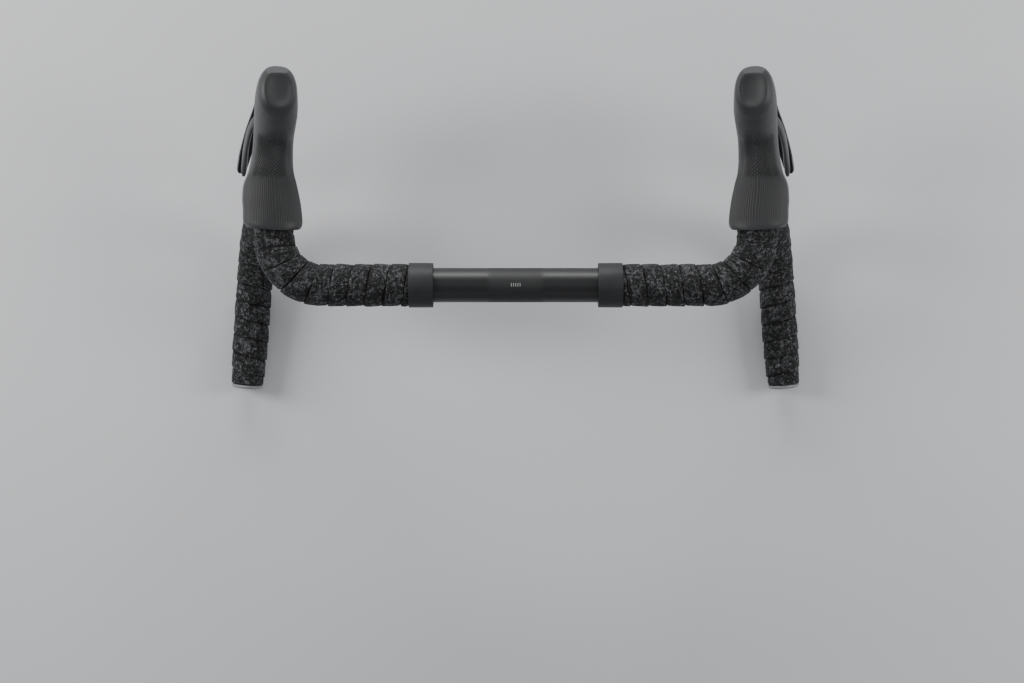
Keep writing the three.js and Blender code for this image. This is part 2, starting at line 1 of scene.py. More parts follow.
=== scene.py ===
# Looks of the drop handlebar: smooth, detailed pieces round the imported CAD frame.
# Shapes are worked out in millimetres for the right side and mirrored for the left.
import bmesh
import bpy
import json
import math
import numpy as np
from contextlib import contextmanager
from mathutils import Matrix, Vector


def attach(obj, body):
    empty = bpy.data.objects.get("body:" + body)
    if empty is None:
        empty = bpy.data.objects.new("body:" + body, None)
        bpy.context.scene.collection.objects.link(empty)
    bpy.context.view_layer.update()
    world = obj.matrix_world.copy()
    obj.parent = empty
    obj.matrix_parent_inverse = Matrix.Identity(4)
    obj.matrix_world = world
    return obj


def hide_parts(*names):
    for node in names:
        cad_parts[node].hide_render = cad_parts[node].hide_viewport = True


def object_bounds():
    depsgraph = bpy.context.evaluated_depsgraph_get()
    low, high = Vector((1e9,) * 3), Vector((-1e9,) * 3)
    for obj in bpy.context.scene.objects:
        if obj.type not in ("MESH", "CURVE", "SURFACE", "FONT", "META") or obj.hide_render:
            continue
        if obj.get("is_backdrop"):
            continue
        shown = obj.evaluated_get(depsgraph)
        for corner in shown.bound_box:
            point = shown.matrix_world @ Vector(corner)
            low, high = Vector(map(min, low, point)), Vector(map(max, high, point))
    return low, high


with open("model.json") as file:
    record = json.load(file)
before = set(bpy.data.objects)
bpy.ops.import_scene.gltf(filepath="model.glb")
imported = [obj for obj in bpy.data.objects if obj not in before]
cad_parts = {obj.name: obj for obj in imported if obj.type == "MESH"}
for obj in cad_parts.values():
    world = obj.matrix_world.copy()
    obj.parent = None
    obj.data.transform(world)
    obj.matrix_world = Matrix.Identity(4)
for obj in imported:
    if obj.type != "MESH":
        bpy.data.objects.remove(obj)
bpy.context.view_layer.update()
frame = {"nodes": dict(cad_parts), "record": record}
MM = 0.001
SIDES = ((1, "R"), (-1, "L"))


# ---------------- camera
CAMERA_HEIGHT = 2.15
CAMERA_LENS = 81.9
CAMERA_OVER = (-0.0034, -0.052)


def linked_object(name, data):
    made = bpy.data.objects.new(name, data)
    bpy.context.scene.collection.objects.link(made)
    return made


def add_camera():
    data = bpy.data.cameras.new("camera")
    data.lens = CAMERA_LENS
    data.sensor_width = 36
    camera = linked_object("camera", data)
    camera.location = (*CAMERA_OVER, CAMERA_HEIGHT)
    bpy.context.scene.camera = camera


add_camera()


# ---------------- driving dimensions, mm
CORNER_START = 178
CORNER_RADIUS = 45
RAMP_END = 47
REACH = 70
HOOK_DEPTH = 34
HOOK_LOW = np.array([0.0, 8.0, -116.0])
DROP_END = np.array([5.5, -93.0, -127.0])
FLARE = math.radians(15)
DROP_X = CORNER_START + CORNER_RADIUS
FINISH_START = 76
FINISH_END = 98.5
MECH_X = 2
BRAKE_PIVOT = (2, 156, 23)
SHIFT_Z = -6
CYLINDER_Z = 9
SHIFT_LINE = (MECH_X, 0, SHIFT_Z)
CYLINDER_LINE = (MECH_X, 0, CYLINDER_Z)
ALONG_Y = (0, 1, 0)


def in_drop(points):
    """Points in the flared drop plane's frame (x outboard, y forward, z up) to the row frame."""
    p = np.asarray(points, float)
    out = p.copy()
    out[..., 0] = DROP_X + math.cos(FLARE) * p[..., 0] - math.sin(FLARE) * p[..., 2]
    out[..., 2] = math.sin(FLARE) * p[..., 0] + math.cos(FLARE) * p[..., 2]
    return out


# ---------------- the bar's centre line
def line_points():
    def straight(a, b):
        t = np.linspace(0, 1, 60)[:, None]
        return np.asarray(a) * (1 - t) + np.asarray(b) * t

    quarter = np.linspace(0, math.pi / 2, 90)
    zero = 0 * quarter
    corner = np.stack([CORNER_START + CORNER_RADIUS * np.sin(quarter),
                       CORNER_RADIUS * (1 - np.cos(quarter)), zero], 1)
    hook = in_drop(np.stack([zero, RAMP_END + (REACH - RAMP_END) * np.sin(quarter),
                             HOOK_DEPTH * (np.cos(quarter) - 1)], 1))
    along = (DROP_END - HOOK_LOW) / np.linalg.norm(DROP_END - HOOK_LOW)
    a, b = np.array([0, REACH, -HOOK_DEPTH]), np.array([0, REACH, -76])
    c, d = HOOK_LOW - 42 * along, HOOK_LOW
    t = np.linspace(0, 1, 120)[:, None]
    lower = in_drop((1 - t) ** 3 * a + 3 * (1 - t) ** 2 * t * b + 3 * (1 - t) * t ** 2 * c + t ** 3 * d)
    parts = [straight((0, 0, 0), (CORNER_START, 0, 0)), corner,
             straight(corner[-1], in_drop((0, RAMP_END, 0))), hook, lower,
             straight(in_drop(HOOK_LOW), in_drop(DROP_END))]
    joined = np.concatenate(parts)
    keep = np.concatenate([[True], np.linalg.norm(np.diff(joined, axis=0), axis=1) > 1e-6])
    return joined[keep]


class BarLine:
    """Right half of the centre line, by distance from the middle, with a frame that doesn't twist."""

    def __init__(self):
        self.points = line_points()
        steps = np.diff(self.points, axis=0)
        self.distance = np.concatenate([[0], np.cumsum(np.linalg.norm(steps, axis=1))])
        self.length = self.distance[-1]
        tangents = np.gradient(self.points, self.distance, axis=0)
        self.tangents = tangents / np.linalg.norm(tangents, axis=1)[:, None]
        normal = np.array([0.0, 0.0, 1.0])
        normals = []
        for tangent in self.tangents:
            normal = normal - tangent * normal.dot(tangent)
            normal = normal / np.linalg.norm(normal)
            normals.append(normal)
        self.normals = np.array(normals)
        self.binormals = np.cross(self.tangents, self.normals)

    def _mix(self, values, s):
        return np.stack([np.interp(s, self.distance, values[:, k]) for k in range(3)], -1)

    def ring_points(self, s, angle, radius):
        """Points at distance s, turned by angle from straight up, radius from the centre line."""
        centre = self._mix(self.points, s)
        normal = self._mix(self.normals, s)
        binormal = self._mix(self.binormals, s)
        radius = np.asarray(radius)[..., None]
        return centre + radius * (np.cos(angle)[..., None] * normal + np.sin(angle)[..., None] * binormal)


BAR = BarLine()
CORNER_END_S = CORNER_START + CORNER_RADIUS * math.pi / 2
TAPE_START_S = 84.6
HOOK_END_S = BAR.distance[np.argmin(np.linalg.norm(BAR.points - in_drop((0, REACH, -HOOK_DEPTH)), axis=1))]


def bar_radius(s):
    return np.interp(np.abs(s), [80, 110, 150, CORNER_START + 12], [15.9, 13.5, 13.5, 11.9])


def tape_radius(s):
    return np.interp(s, [FINISH_END, FINISH_END + 1, CORNER_START, CORNER_END_S + 2, HOOK_END_S,
                         BAR.length - 30, BAR.length], [19.2, 20, 19.8, 19.2, 17.9, 17.4, 15.6])


# ---------------- mesh helpers
def make_mesh(name, points, faces, side=1, material=None, crease=None, attribute=None):
    """A smooth mesh object from millimetre points; side -1 mirrors it."""
    co = np.asarray(points, float).reshape(-1, 3) * MM
    quads = [tuple(int(i) for i in face) for face in faces]
    if side < 0:
        co = co * np.array([-1, 1, 1])
        quads = [face[::-1] for face in quads]
    mesh = bpy.data.meshes.new(name)
    mesh.from_pydata(co.tolist(), [], quads)
    if attribute is not None:
        layer = mesh.attributes.new("strip", "FLOAT_VECTOR", "POINT")
        layer.data.foreach_set("vector", np.asarray(attribute, np.float32).ravel())
    mesh.validate()
    mesh.shade_smooth()
    if crease:
        mesh.set_sharp_from_angle(angle=math.radians(crease))
    if material:
        mesh.materials.append(material)
    return linked_object(name, mesh)


def grid_faces(rows, cols, close_rows=False):
    """Faces of rings of cols points each; close_rows joins the last ring to the first."""
    r, c = np.meshgrid(np.arange(rows if close_rows else rows - 1), np.arange(cols), indexing="ij")
    r, c = r.ravel(), c.ravel()
    r2, c2 = (r + 1) % rows, (c + 1) % cols
    return np.stack([r * cols + c, r * cols + c2, r2 * cols + c2, r2 * cols + c], 1)


def capped(faces, rows, cols):
    """Closes both ends of a lofted grid with one many-sided face each."""
    first = tuple(range(cols))[::-1]
    last = tuple((rows - 1) * cols + k for k in range(cols))
    return [tuple(face) for face in faces] + [first, last]


def angles(count):
    """Equal steps round a full turn."""
    return np.arange(count) * 2 * math.pi / count


def basis(direction):
    """A turn that takes the y axis to the direction."""
    y = Vector(direction).normalized()
    turn = Vector((0, 1, 0)).rotation_difference(y)
    return np.array(turn.to_matrix())


def turned(profile, origin, direction, sides):
    """Rings of points of a closed or axis-to-axis profile of (radius, height), turned about a line."""
    angle = angles(sides)
    prof = np.asarray(profile, float)
    local = np.stack([prof[:, 0, None] * np.cos(angle), prof[:, 1, None] + 0 * angle,
                      -prof[:, 0, None] * np.sin(angle)], -1)
    return local @ basis(direction).T + np.asarray(origin, float)


def rounded(profile, radius, closed, steps=4):
    """The profile with each corner replaced by an arc-like run of points."""
    pts = [np.asarray(p, float) for p in profile]
    count = len(pts)
    out = []
    for i, p in enumerate(pts):
        if not closed and i in (0, count - 1):
            out.append(p)
            continue
        a, b = pts[i - 1] - p, pts[(i + 1) % count] - p
        la, lb = np.linalg.norm(a), np.linalg.norm(b)
        cut = min(radius, 0.45 * la, 0.45 * lb)
        start, end = p + a / la * cut, p + b / lb * cut
        for k in range(steps + 1):
            t = k / steps
            out.append((1 - t) ** 2 * start + 2 * t * (1 - t) * p + t ** 2 * end)
    return np.array(out)


def turned_piece(name, profile, origin, direction, material, body, side, replaced, closed, soft, sides,
                 drop=True):
    """A finished piece turned about a line, given in the drop frame or in the row frame."""
    prof = rounded(profile, soft, closed)
    rings = turned(prof, origin, direction, sides)
    points = in_drop(rings) if drop else rings
    piece = make_mesh(name, points, grid_faces(len(prof), sides, closed), side, material, crease=40)
    return finish_piece(tidied(piece), body, replaced)


@contextmanager
def edited(piece):
    """The piece's mesh for bmesh work, put back afterwards."""
    mesh = bmesh.new()
    mesh.from_mesh(piece.data)
    yield mesh
    mesh.to_mesh(piece.data)
    mesh.free()


def tidy_mesh(piece, distance=1e-6):
    with edited(piece) as mesh:
        bmesh.ops.remove_doubles(mesh, verts=mesh.verts, dist=distance)
        bmesh.ops.dissolve_degenerate(mesh, dist=distance, edges=mesh.edges)
        bmesh.ops.recalc_face_normals(mesh, faces=mesh.faces)


def tidied(piece):
    tidy_mesh(piece)
    return piece


def finish_piece(piece, body, replaced):
    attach(piece, body)
    if replaced:
        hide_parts(*replaced)
    return piece


# ---------------- material helpers
class Shader:
    """Small helper that builds a node material."""

    def __init__(self, name, **settings):
        self.material = bpy.data.materials.new(name)
        self.material.use_nodes = True
        self.tree = self.material.node_tree
        self.surface = self.tree.nodes["Principled BSDF"]
        for key, value in settings.items():
            self.surface.inputs[key.replace("_", " ")].default_value = value
        self.object_space = self.node("ShaderNodeTexCoord").outputs["Object"]

    def node(self, kind, **settings):
        made = self.tree.nodes.new(kind)
        for key, value in settings.items():
            setattr(made, key, value)
        return made

    def link(self, source, target):
        self.tree.links.new(source, target)

    def scaled(self, vector, scale):
        mapping = self.node("ShaderNodeMapping")
        mapping.inputs["Scale"].default_value = scale
        self.link(vector, mapping.inputs["Vector"])
        return mapping.outputs["Vector"]

    def texture(self, kind, output, vector, **values):
        made = self.node("ShaderNodeTex" + kind)
        for key, value in values.items():
            made.inputs[key].default_value = value
        self.link(vector, made.inputs["Vector"])
        return made.outputs[output]

    def noise(self, scale, detail=2.0, roughness=0.5, distortion=0.0, at=None):
        """Noise from 0 to 1, in the object's own space or at another vector."""
        vector = self.object_space if at is None else at
        return self.texture("Noise", "Fac", vector, Scale=scale, Detail=detail, Roughness=roughness,
                            Distortion=distortion)

    def lines(self, *scale, **detail):
        """Noise stretched into lines: the scale is given for each axis."""
        return self.noise(1.0, at=self.scaled(self.object_space, scale), **detail)

    def ramp(self, value, *stops):
        """The value mapped through two stops of (position, level)."""
        ramp = self.node("ShaderNodeValToRGB")
        for element, (position, level) in zip(ramp.color_ramp.elements, stops):
            element.position = position
            element.color = (level, level, level, 1)
        self.link(value, ramp.inputs["Fac"])
        return ramp.outputs["Color"]

    def strip(self):
        """The mesh's own values: where a point lies on a strip, or masks for grooves and a painted edge
        highlight.
        """
        return self.node("ShaderNodeAttribute", attribute_name="strip").outputs["Vector"]

    def parts(self, vector):
        split = self.node("ShaderNodeSeparateXYZ")
        self.link(vector, split.inputs["Vector"])
        return split.outputs["X"], split.outputs["Y"], split.outputs["Z"]

    def feed(self, value, socket):
        """Sets a socket to a number or a colour, or links it to another node's output."""
        if isinstance(value, (int, float)):
            socket.default_value = value
        elif isinstance(value, tuple):
            socket.default_value = (*value, 1)
        else:
            self.link(value, socket)

    def math(self, operation, *values):
        made = self.node("ShaderNodeMath", operation=operation)
        for socket, value in zip(made.inputs, values):
            self.feed(value, socket)
        return made.outputs["Value"]

    def add(self, a, b):
        return self.math("ADD", a, b)

    def less(self, a, b):
        return self.math("SUBTRACT", a, b)

    def times(self, a, b):
        return self.math("MULTIPLY", a, b)

    def mix(self, factor, a, b):
        made = self.node("ShaderNodeMix", data_type="RGBA")
        for key, value in (("Factor", factor), ("A", a), ("B", b)):
            self.feed(value, made.inputs[key])
        return made.outputs["Result"]

    def bump(self, height, strength, distance, under=None):
        bump = self.node("ShaderNodeBump")
        bump.inputs["Strength"].default_value = strength
        bump.inputs["Distance"].default_value = distance
        self.link(height, bump.inputs["Height"])
        if under is not None:
            self.link(under, bump.inputs["Normal"])
        return bump.outputs["Normal"]

    def put(self, **outputs):
        for key, value in outputs.items():
            self.link(value, self.surface.inputs[key.replace("_", " ")])
        return self.material


def tape_material():
    """Padded tape: a mottled dark and mid grey print on soft grained foam, laid out along the strip, with
    bright specks painted in as highlights.
    """
    s = Shader("tape_mottled", Specular_IOR_Level=0.3, Sheen_Weight=0.04, Sheen_Roughness=0.4)
    strip = s.strip()
    drift = s.noise(0.075, detail=3, roughness=0.6, distortion=0.4, at=strip)
    blotch = s.noise(0.28, detail=6, roughness=0.74, distortion=0.2, at=strip)
    fleck = s.noise(1.15, detail=5, roughness=0.8, at=strip)
    cover = s.ramp(s.add(blotch, s.times(s.less(drift, 0.5), 0.55)), (0.49, 0.0), (0.62, 1.0))
    flecks = s.ramp(s.add(fleck, s.times(s.less(blotch, 0.5), 0.5)), (0.52, 0.0), (0.63, 1.0))
    pattern = s.add(s.times(cover, 0.42), s.times(flecks, 0.58))
    colour = s.mix(pattern, (0.0019, 0.0021, 0.0024), (0.1, 0.101, 0.105))
    # Bright specks mixed into the colour: a painted highlight of glints, with a glossier finish where they
    # lie.
    glint = s.noise(0.8, detail=4, roughness=0.7, at=strip)
    painted_glint = s.ramp(s.add(glint, s.times(pattern, 0.12)), (0.64, 0.0), (0.7, 1.0))
    colour = s.mix(painted_glint, colour, (0.3, 0.302, 0.31))
    grain = s.texture("Voronoi", "Distance", strip, Scale=1.5)
    pores = s.noise(2.6, detail=3, roughness=0.6, at=strip)
    rough = s.less(0.8, s.times(pattern, 0.42))
    rough = s.add(rough, s.times(pores, 0.08))
    rough = s.less(rough, s.times(painted_glint, 0.2))
    normal = s.bump(blotch, 0.4, 0.001)
    normal = s.bump(fleck, 0.7, 0.0009, normal)
    normal = s.bump(grain, 0.4, 0.00025, normal)
    return s.put(Base_Color=colour, Roughness=rough, Normal=normal)


def rubber_material(name, dark, light):
    """Moulded rubber: fine even grain, with painted shade in its grooves and a painted highlight across the
    diamonds.
    """
    s = Shader(name, Specular_IOR_Level=0.42, Sheen_Weight=0.1, Sheen_Roughness=0.6)
    groove, meshed, _ = s.parts(s.strip())
    cloud = s.noise(28.0, detail=4, roughness=0.55)
    fine = s.noise(1500.0, detail=3, roughness=0.6)
    dust = s.noise(520.0, detail=5, roughness=0.7)
    colour = s.mix(s.ramp(cloud, (0.3, 0.0), (0.72, 1.0)), dark, light)
    speck = s.ramp(dust, (0.62, 0.0), (0.74, 0.22))
    colour = s.mix(speck, colour, tuple(2.1 * v for v in light))
    # Paler across the diamond field: a painted highlight on the diamonds.
    colour = s.mix(s.times(meshed, 0.75), colour, tuple(2.2 * v for v in light))
    # Darker in the grooves: painted shade in the recesses of the ribs and diamonds.
    colour = s.mix(s.ramp(groove, (0.2, 0.0), (0.8, 0.97)), colour, tuple(0.15 * v for v in dark))
    rough = s.add(s.times(cloud, 0.16), 0.44)
    rough = s.add(rough, s.times(groove, 0.25))
    normal = s.bump(fine, 0.35, 0.00016)
    return s.put(Base_Color=colour, Roughness=rough, Normal=normal)


def band_material():
    """Stretched vinyl finishing tape: matte, with fine lines round the bar."""
    s = Shader("finishing_band", Specular_IOR_Level=0.4)
    lines = s.lines(900, 60, 60, detail=3)
    cloud = s.noise(90.0, detail=4)
    colour = s.mix(cloud, (0.012, 0.0124, 0.0131), (0.023, 0.0237, 0.025))
    rough = s.add(s.times(lines, 0.18), 0.46)
    return s.put(Base_Color=colour, Roughness=rough, Normal=s.bump(lines, 0.25, 0.00012))


def bar_material():
    """Black anodised, bead blasted tube, with plain centring ticks and a grip texture at the clamp."""
    s = Shader("bar_anodised", Metallic=0.3, Specular_IOR_Level=0.8)
    x, y, z = s.parts(s.object_space)
    x = s.math("ABSOLUTE", x)
    blast = s.noise(2200.0, detail=2)
    brushed = s.lines(60, 1400, 1400, detail=3)
    cloud = s.noise(40.0, detail=3)
    colour = s.mix(cloud, (0.006, 0.0062, 0.0067), (0.0105, 0.0108, 0.0115))
    colour = s.mix(tick_mask(s, x, y, z), colour, (0.45, 0.45, 0.45))
    rough = s.add(s.times(brushed, 0.12), 0.38)
    rough = s.add(rough, s.times(s.ramp(s.times(x, 10.0), (0.24, 1.0), (0.26, 0.0)), 0.12))
    grip = s.texture("Wave", "Fac", s.object_space, Scale=330.0)
    in_clamp = s.ramp(s.times(x, 10.0), (0.215, 1.0), (0.225, 0.0))
    normal = s.bump(blast, 0.12, 0.0001)
    normal = s.bump(s.times(grip, in_clamp), 0.5, 0.00012, normal)
    return s.put(Base_Color=colour, Roughness=rough, Normal=normal)


def tick_mask(s, x, y, z):
    """Five short ticks across the top at the tube's middle, for centring a stem, as a mask."""
    def inside(value, low, high):
        return s.times(s.math("GREATER_THAN", value, low), s.math("LESS_THAN", value, high))

    angle = s.math("ARCTAN2", y, z)
    total = None
    for number in range(3):
        start = 0.002 * number - 0.00025
        band = s.times(inside(x, start, start + 0.0005), inside(angle, -0.1, 0.1))
        total = band if total is None else s.math("MAXIMUM", total, band)
    return total


def blade_material():
    """Black painted alloy, with a painted highlight along the outer edge near the tip."""
    s = Shader("blade_black", Metallic=0.25, Coat_Weight=0.25, Coat_Roughness=0.18)
    edge, _, _ = s.parts(s.strip())
    scuff = s.noise(420.0, detail=5, roughness=0.7)
    brushed = s.lines(1500, 90, 90, detail=3)
    # Paler along the outboard edge near the tip: a painted highlight, broken up by the scuff noise.
    edge_highlight = s.ramp(s.add(edge, s.times(s.less(scuff, 0.5), 0.5)), (0.45, 0.0), (0.7, 1.0))
    colour = s.mix(scuff, (0.0095, 0.0098, 0.0108), (0.0175, 0.018, 0.0195))
    colour = s.mix(edge_highlight, colour, (0.2, 0.202, 0.208))
    rough = s.add(s.times(brushed, 0.16), 0.24)
    return s.put(Base_Color=colour, Roughness=rough, Normal=s.bump(brushed, 0.12, 0.00008))


def plastic_material(name, dark, light, rough_low=0.4, spread=0.2, metallic=0.0):
    """Moulded composite: faint flow clouding, spark-eroded grain and small scuffs."""
    s = Shader(name, Metallic=metallic)
    cloud = s.noise(70.0, detail=4, distortion=0.8)
    grain = s.noise(2400.0, detail=2)
    scuff = s.lines(240, 900, 240, detail=5, roughness=0.7)
    colour = s.mix(cloud, dark, light)
    colour = s.mix(s.ramp(scuff, (0.64, 0.0), (0.72, 0.3)), colour, tuple(2 * v for v in light))
    rough = s.add(s.times(cloud, spread), rough_low)
    return s.put(Base_Color=colour, Roughness=rough, Normal=s.bump(grain, 0.2, 0.0001))


def metal_material(name, dark, light, rough_low=0.24):
    """Turned or milled metal: fine tool lines and a little tarnish."""
    s = Shader(name, Metallic=1.0)
    lines = s.lines(120, 3200, 120, detail=3)
    tarnish = s.noise(160.0, detail=5, roughness=0.65)
    colour = s.mix(tarnish, dark, light)
    rough = s.add(s.times(lines, 0.2), rough_low)
    return s.put(Base_Color=colour, Roughness=rough, Normal=s.bump(lines, 0.15, 0.00006))


MATERIALS = {
    "bar": bar_material(),
    "tape": tape_material(),
    "band": band_material(),
    "hood_rubber": rubber_material("hood_rubber", (0.0175, 0.018, 0.0187), (0.0285, 0.029, 0.03)),
    "rubber": rubber_material("seal_rubber", (0.009, 0.009, 0.0095), (0.017, 0.017, 0.018)),
    "plastic": plastic_material("body_composite", (0.012, 0.0123, 0.013), (0.022, 0.0225, 0.024)),
    # The end plug is pale grey all over: a painted highlight standing in for its bright rim.
    "plug": plastic_material("plug_painted_highlight", (0.2, 0.202, 0.208), (0.27, 0.272, 0.28), 0.2, 0.12),
    "cap_plastic": plastic_material("cap_plastic", (0.008, 0.0082, 0.009), (0.014, 0.0145, 0.0155),
                                    0.2, 0.14),
    "blade": blade_material(),
    "paddle": plastic_material("paddle_grey", (0.05, 0.051, 0.054), (0.085, 0.087, 0.091), 0.3, 0.16, 0.3),
    "dark_alloy": metal_material("dark_alloy", (0.03, 0.031, 0.034), (0.07, 0.072, 0.077), 0.34),
    "alloy": metal_material("machined_alloy", (0.42, 0.43, 0.45), (0.62, 0.63, 0.65)),
    "steel": metal_material("turned_steel", (0.3, 0.305, 0.32), (0.5, 0.51, 0.53)),
    "brass": metal_material("turned_brass", (0.42, 0.3, 0.12), (0.66, 0.5, 0.22)),
}
SLOT_OF = {entry["node"]: entry["material_slot"] for entry in frame["record"]["subparts"]}


def paint_cad_nodes():
    """Every CAD node gets its slot's procedural material before finer pieces replace it."""
    for node, slot in SLOT_OF.items():
        mesh = frame["nodes"][node].data
        mesh.materials.clear()
        mesh.materials.append(MATERIALS[slot])


# ---------------- bar
WALL = 2.2


def handlebar():
    sides = 72
    half = np.unique(np.concatenate([[0, 20, 40, 60], np.arange(78, 192, 2.0),
                                     np.arange(192, BAR.length, 3.0), [BAR.length]]))
    s, a = np.meshgrid(half, angles(sides), indexing="ij")
    outer = BAR.ring_points(s, a, bar_radius(s))
    inner = BAR.ring_points(s, a, bar_radius(s) - WALL)

    def whole(rings):
        mirror = (rings * np.array([-1, 1, 1]))[1:][::-1]
        return np.concatenate([mirror, rings])

    # the left half's rings run the same way round: mirror angles keep straight up as the start
    rings = np.concatenate([whole(outer), whole(inner)[::-1]])
    faces = grid_faces(len(rings), sides, True)
    piece = make_mesh("bar_tube", rings, faces, 1, MATERIALS["bar"], crease=40)
    finish_piece(tidied(piece), "root", ("handlebar",))


# ---------------- bar tape
TAPE_PITCH = 17.0
# Across one turn, from under its inboard neighbour's edge: share of the pitch, height over the tape's radius.
LAP_PROFILE = ((0, -2.9), (0.018, -2.2), (0.04, -1.3), (0.07, -0.88), (0.14, -0.64), (0.28, -0.42),
               (0.46, -0.23), (0.64, -0.1), (0.8, -0.01), (0.9, 0.02), (0.945, -0.06), (0.975, -0.28),
               (0.992, -0.7), (1.0, -1.9))
TAPE_STEPS = 96   # round one turn
BARE_FROM = 68    # no tape under the lever body: forward of this, and above this in the drop's plane
BARE_ABOVE = -19.5


def wobble(value, seed):
    """Smooth repeatable unevenness between about -1 and 1."""
    return (np.sin(value * 1.31 + seed * 2.1) + 0.6 * np.sin(value * 2.77 + seed * 4.7)
            + 0.4 * np.sin(value * 5.13 + seed * 1.3)) / 2.0


def bar_tape(side, letter):
    """One strip wound from the drop end to the tops, each turn lapped over the one below it."""
    turns = (BAR.length - TAPE_START_S) / TAPE_PITCH + 2
    rows = int(turns * TAPE_STEPS) + 1
    wound = (np.arange(rows) / TAPE_STEPS)[:, None] - 1.0
    lap = np.array([v for v, _ in LAP_PROFILE])[None, :]
    height = np.array([h for _, h in LAP_PROFILE])[None, :]
    seed = 3.0 if side > 0 else 8.0
    angle = 2 * math.pi * wound
    s = TAPE_START_S + TAPE_PITCH * (wound + lap)
    s = s + 0.8 * wobble(angle * 0.9, seed) + 0.2 * wobble(angle * 3.3, seed + 4)
    ended = (s >= BAR.length) | (s <= TAPE_START_S)
    s = np.clip(s, TAPE_START_S, BAR.length)
    lump = (0.26 * wobble(angle * 1.7 + 0.08 * s, seed + 1) + 0.2 * wobble(s * 0.7 + angle * 3.1, seed + 2)
            + 0.1 * wobble(s * 2.1 - angle * 7.3, seed + 5))
    lapped = np.where(ended, -1.2, height * (1 + 0.25 * wobble(angle * 0.37, seed + 3)) + lump - 0.15)
    radius = np.minimum(tape_radius(s) + lapped, tape_radius(s) + 0.25)
    radius = np.where(s < FINISH_END + 1.5, np.minimum(radius, 19.1), radius)
    points = BAR.ring_points(s, angle + 0 * s, radius)
    cols = lap.shape[1]
    strip = np.stack([angle * 19 + 0 * s + 100 * seed, lap * TAPE_PITCH + 0 * s, 0 * s], -1)
    row, col = np.meshgrid(np.arange(rows - 1), np.arange(cols - 1), indexing="ij")
    row, col = row.ravel(), col.ravel()
    across = np.stack([row * cols + col, (row + 1) * cols + col, (row + 1) * cols + col + 1,
                       row * cols + col + 1], 1)
    k = np.arange(rows - 1 - TAPE_STEPS)
    last = cols - 1
    wall = np.stack([k * cols + last, (k + 1) * cols + last, (k + 1 + TAPE_STEPS) * cols,
                     (k + TAPE_STEPS) * cols], 1)
    piece = make_mesh(f"tape_wrap_{letter}", points, np.concatenate([across, wall]), side, MATERIALS["tape"],
                      crease=50, attribute=strip.reshape(-1, 3))
    trim_under_lever(piece, side)
    tidy_mesh(piece, 2e-6)
    finish_piece(piece, "root", (f"bar_tape_{letter}",))


def trim_under_lever(piece, side):
    """Takes away the tape where the lever body sits against the bare bar, under the hood."""
    def under(face):
        centre = face.calc_center_median() / MM
        x, z = side * centre.x - DROP_X, centre.z
        up = -math.sin(FLARE) * x + math.cos(FLARE) * z
        return centre.y > BARE_FROM and up > BARE_ABOVE

    with edited(piece) as mesh:
        bmesh.ops.delete(mesh, geom=[f for f in mesh.faces if under(f)], context="FACES")


# ---------------- finishing tape
def finishing_tape(side, letter):
    """A stretched band in two turns; the free end of the outer turn lies on the underside."""
    sides = 128
    profile = rounded([(FINISH_START, 16.4), (FINISH_START, 20.45), (FINISH_END, 20.45), (FINISH_END, 19.6),
                       (TAPE_START_S - 0.3, 19.6), (TAPE_START_S - 0.8, 16.4)], 0.55, True, 5)
    angle = angles(sides)
    turn = ((angle + math.pi) / (2 * math.pi)) % 1.0
    swell = 0.32 * turn * (profile[:, 1, None] > 19.9)
    ripple = 0.06 * np.sin(profile[:, 0, None] * 1.9 + 3 * np.sin(angle)) * (profile[:, 1, None] > 20.3)
    radius = profile[:, 1, None] + swell + ripple
    rings = np.stack([profile[:, 0, None] + 0 * radius, -radius * np.sin(angle), radius * np.cos(angle)], -1)
    piece = make_mesh(f"finishing_band_{letter}", rings, grid_faces(len(profile), sides, True), side,
                      MATERIALS["band"], crease=50)
    finish_piece(tidied(piece), "root", (f"finishing_tape_{letter}",))


# ---------------- bar end
def bar_end(side, letter):
    end = BAR.points[-1]
    out = BAR.tangents[-1]

    def piece(name, profile, material, closed, soft, sides=64):
        node = f"{name}_{letter}"
        return turned_piece(node, profile, end, out, MATERIALS[material], "root", side, (node,),
                            closed, soft, sides, drop=False)

    piece("end_plug", [(2.4, -3), (6, -3), (6, 0.35), (14.0, 0.35), (15.05, 1.2), (15.0, 2.5), (13.9, 3.7),
                       (12.4, 4.0), (11.9, 3.5), (10.9, 3.5), (10.4, 4.15), (4.6, 4.3), (4.6, 1.6),
                       (2.4, 1.6)], "plug", True, 0.45, 96)
    piece("plug_expander", [(2.4, -22), (8, -22), (9.1, -20), (9.1, -15.4), (8.5, -14.8), (8.5, -14),
                            (9.1, -13.4), (9.1, -9.4), (8.5, -8.8), (8.5, -8), (9.1, -7.4), (9.1, -5),
                            (8, -3.4), (2.4, -3.4)], "rubber", True, 0.3)
    screw = piece("plug_screw", [(0, -26), (1.6, -26), (2, -25), (2, 1.95), (4.2, 1.95), (4.2, 4), (0, 4)],
                  "steel", False, 0.3)
    carve_socket(screw, end + out * 4, out, 1.5, 1.6, side)


def carve_socket(piece, top, direction, radius, depth, side):
    """A hexagon socket in a screw head, centred on top and running in against direction."""
    angle = np.arange(6) * math.pi / 3
    ring = np.stack([radius * np.cos(angle), 0 * angle, -radius * np.sin(angle)], 1) @ basis(direction).T
    points = np.concatenate([ring + top + direction, ring + top - direction * depth])
    cutter = make_mesh("socket_cutter", points, capped(grid_faces(2, 6), 2, 6), side)
    combine(piece, "DIFFERENCE", tidied(cutter))


def apply_modifiers(piece):
    graph = bpy.context.evaluated_depsgraph_get()
    done = bpy.data.meshes.new_from_object(piece.evaluated_get(graph))
    old = piece.data
    piece.modifiers.clear()
    piece.data = done
    name = old.name
    bpy.data.meshes.remove(old)
    done.name = name


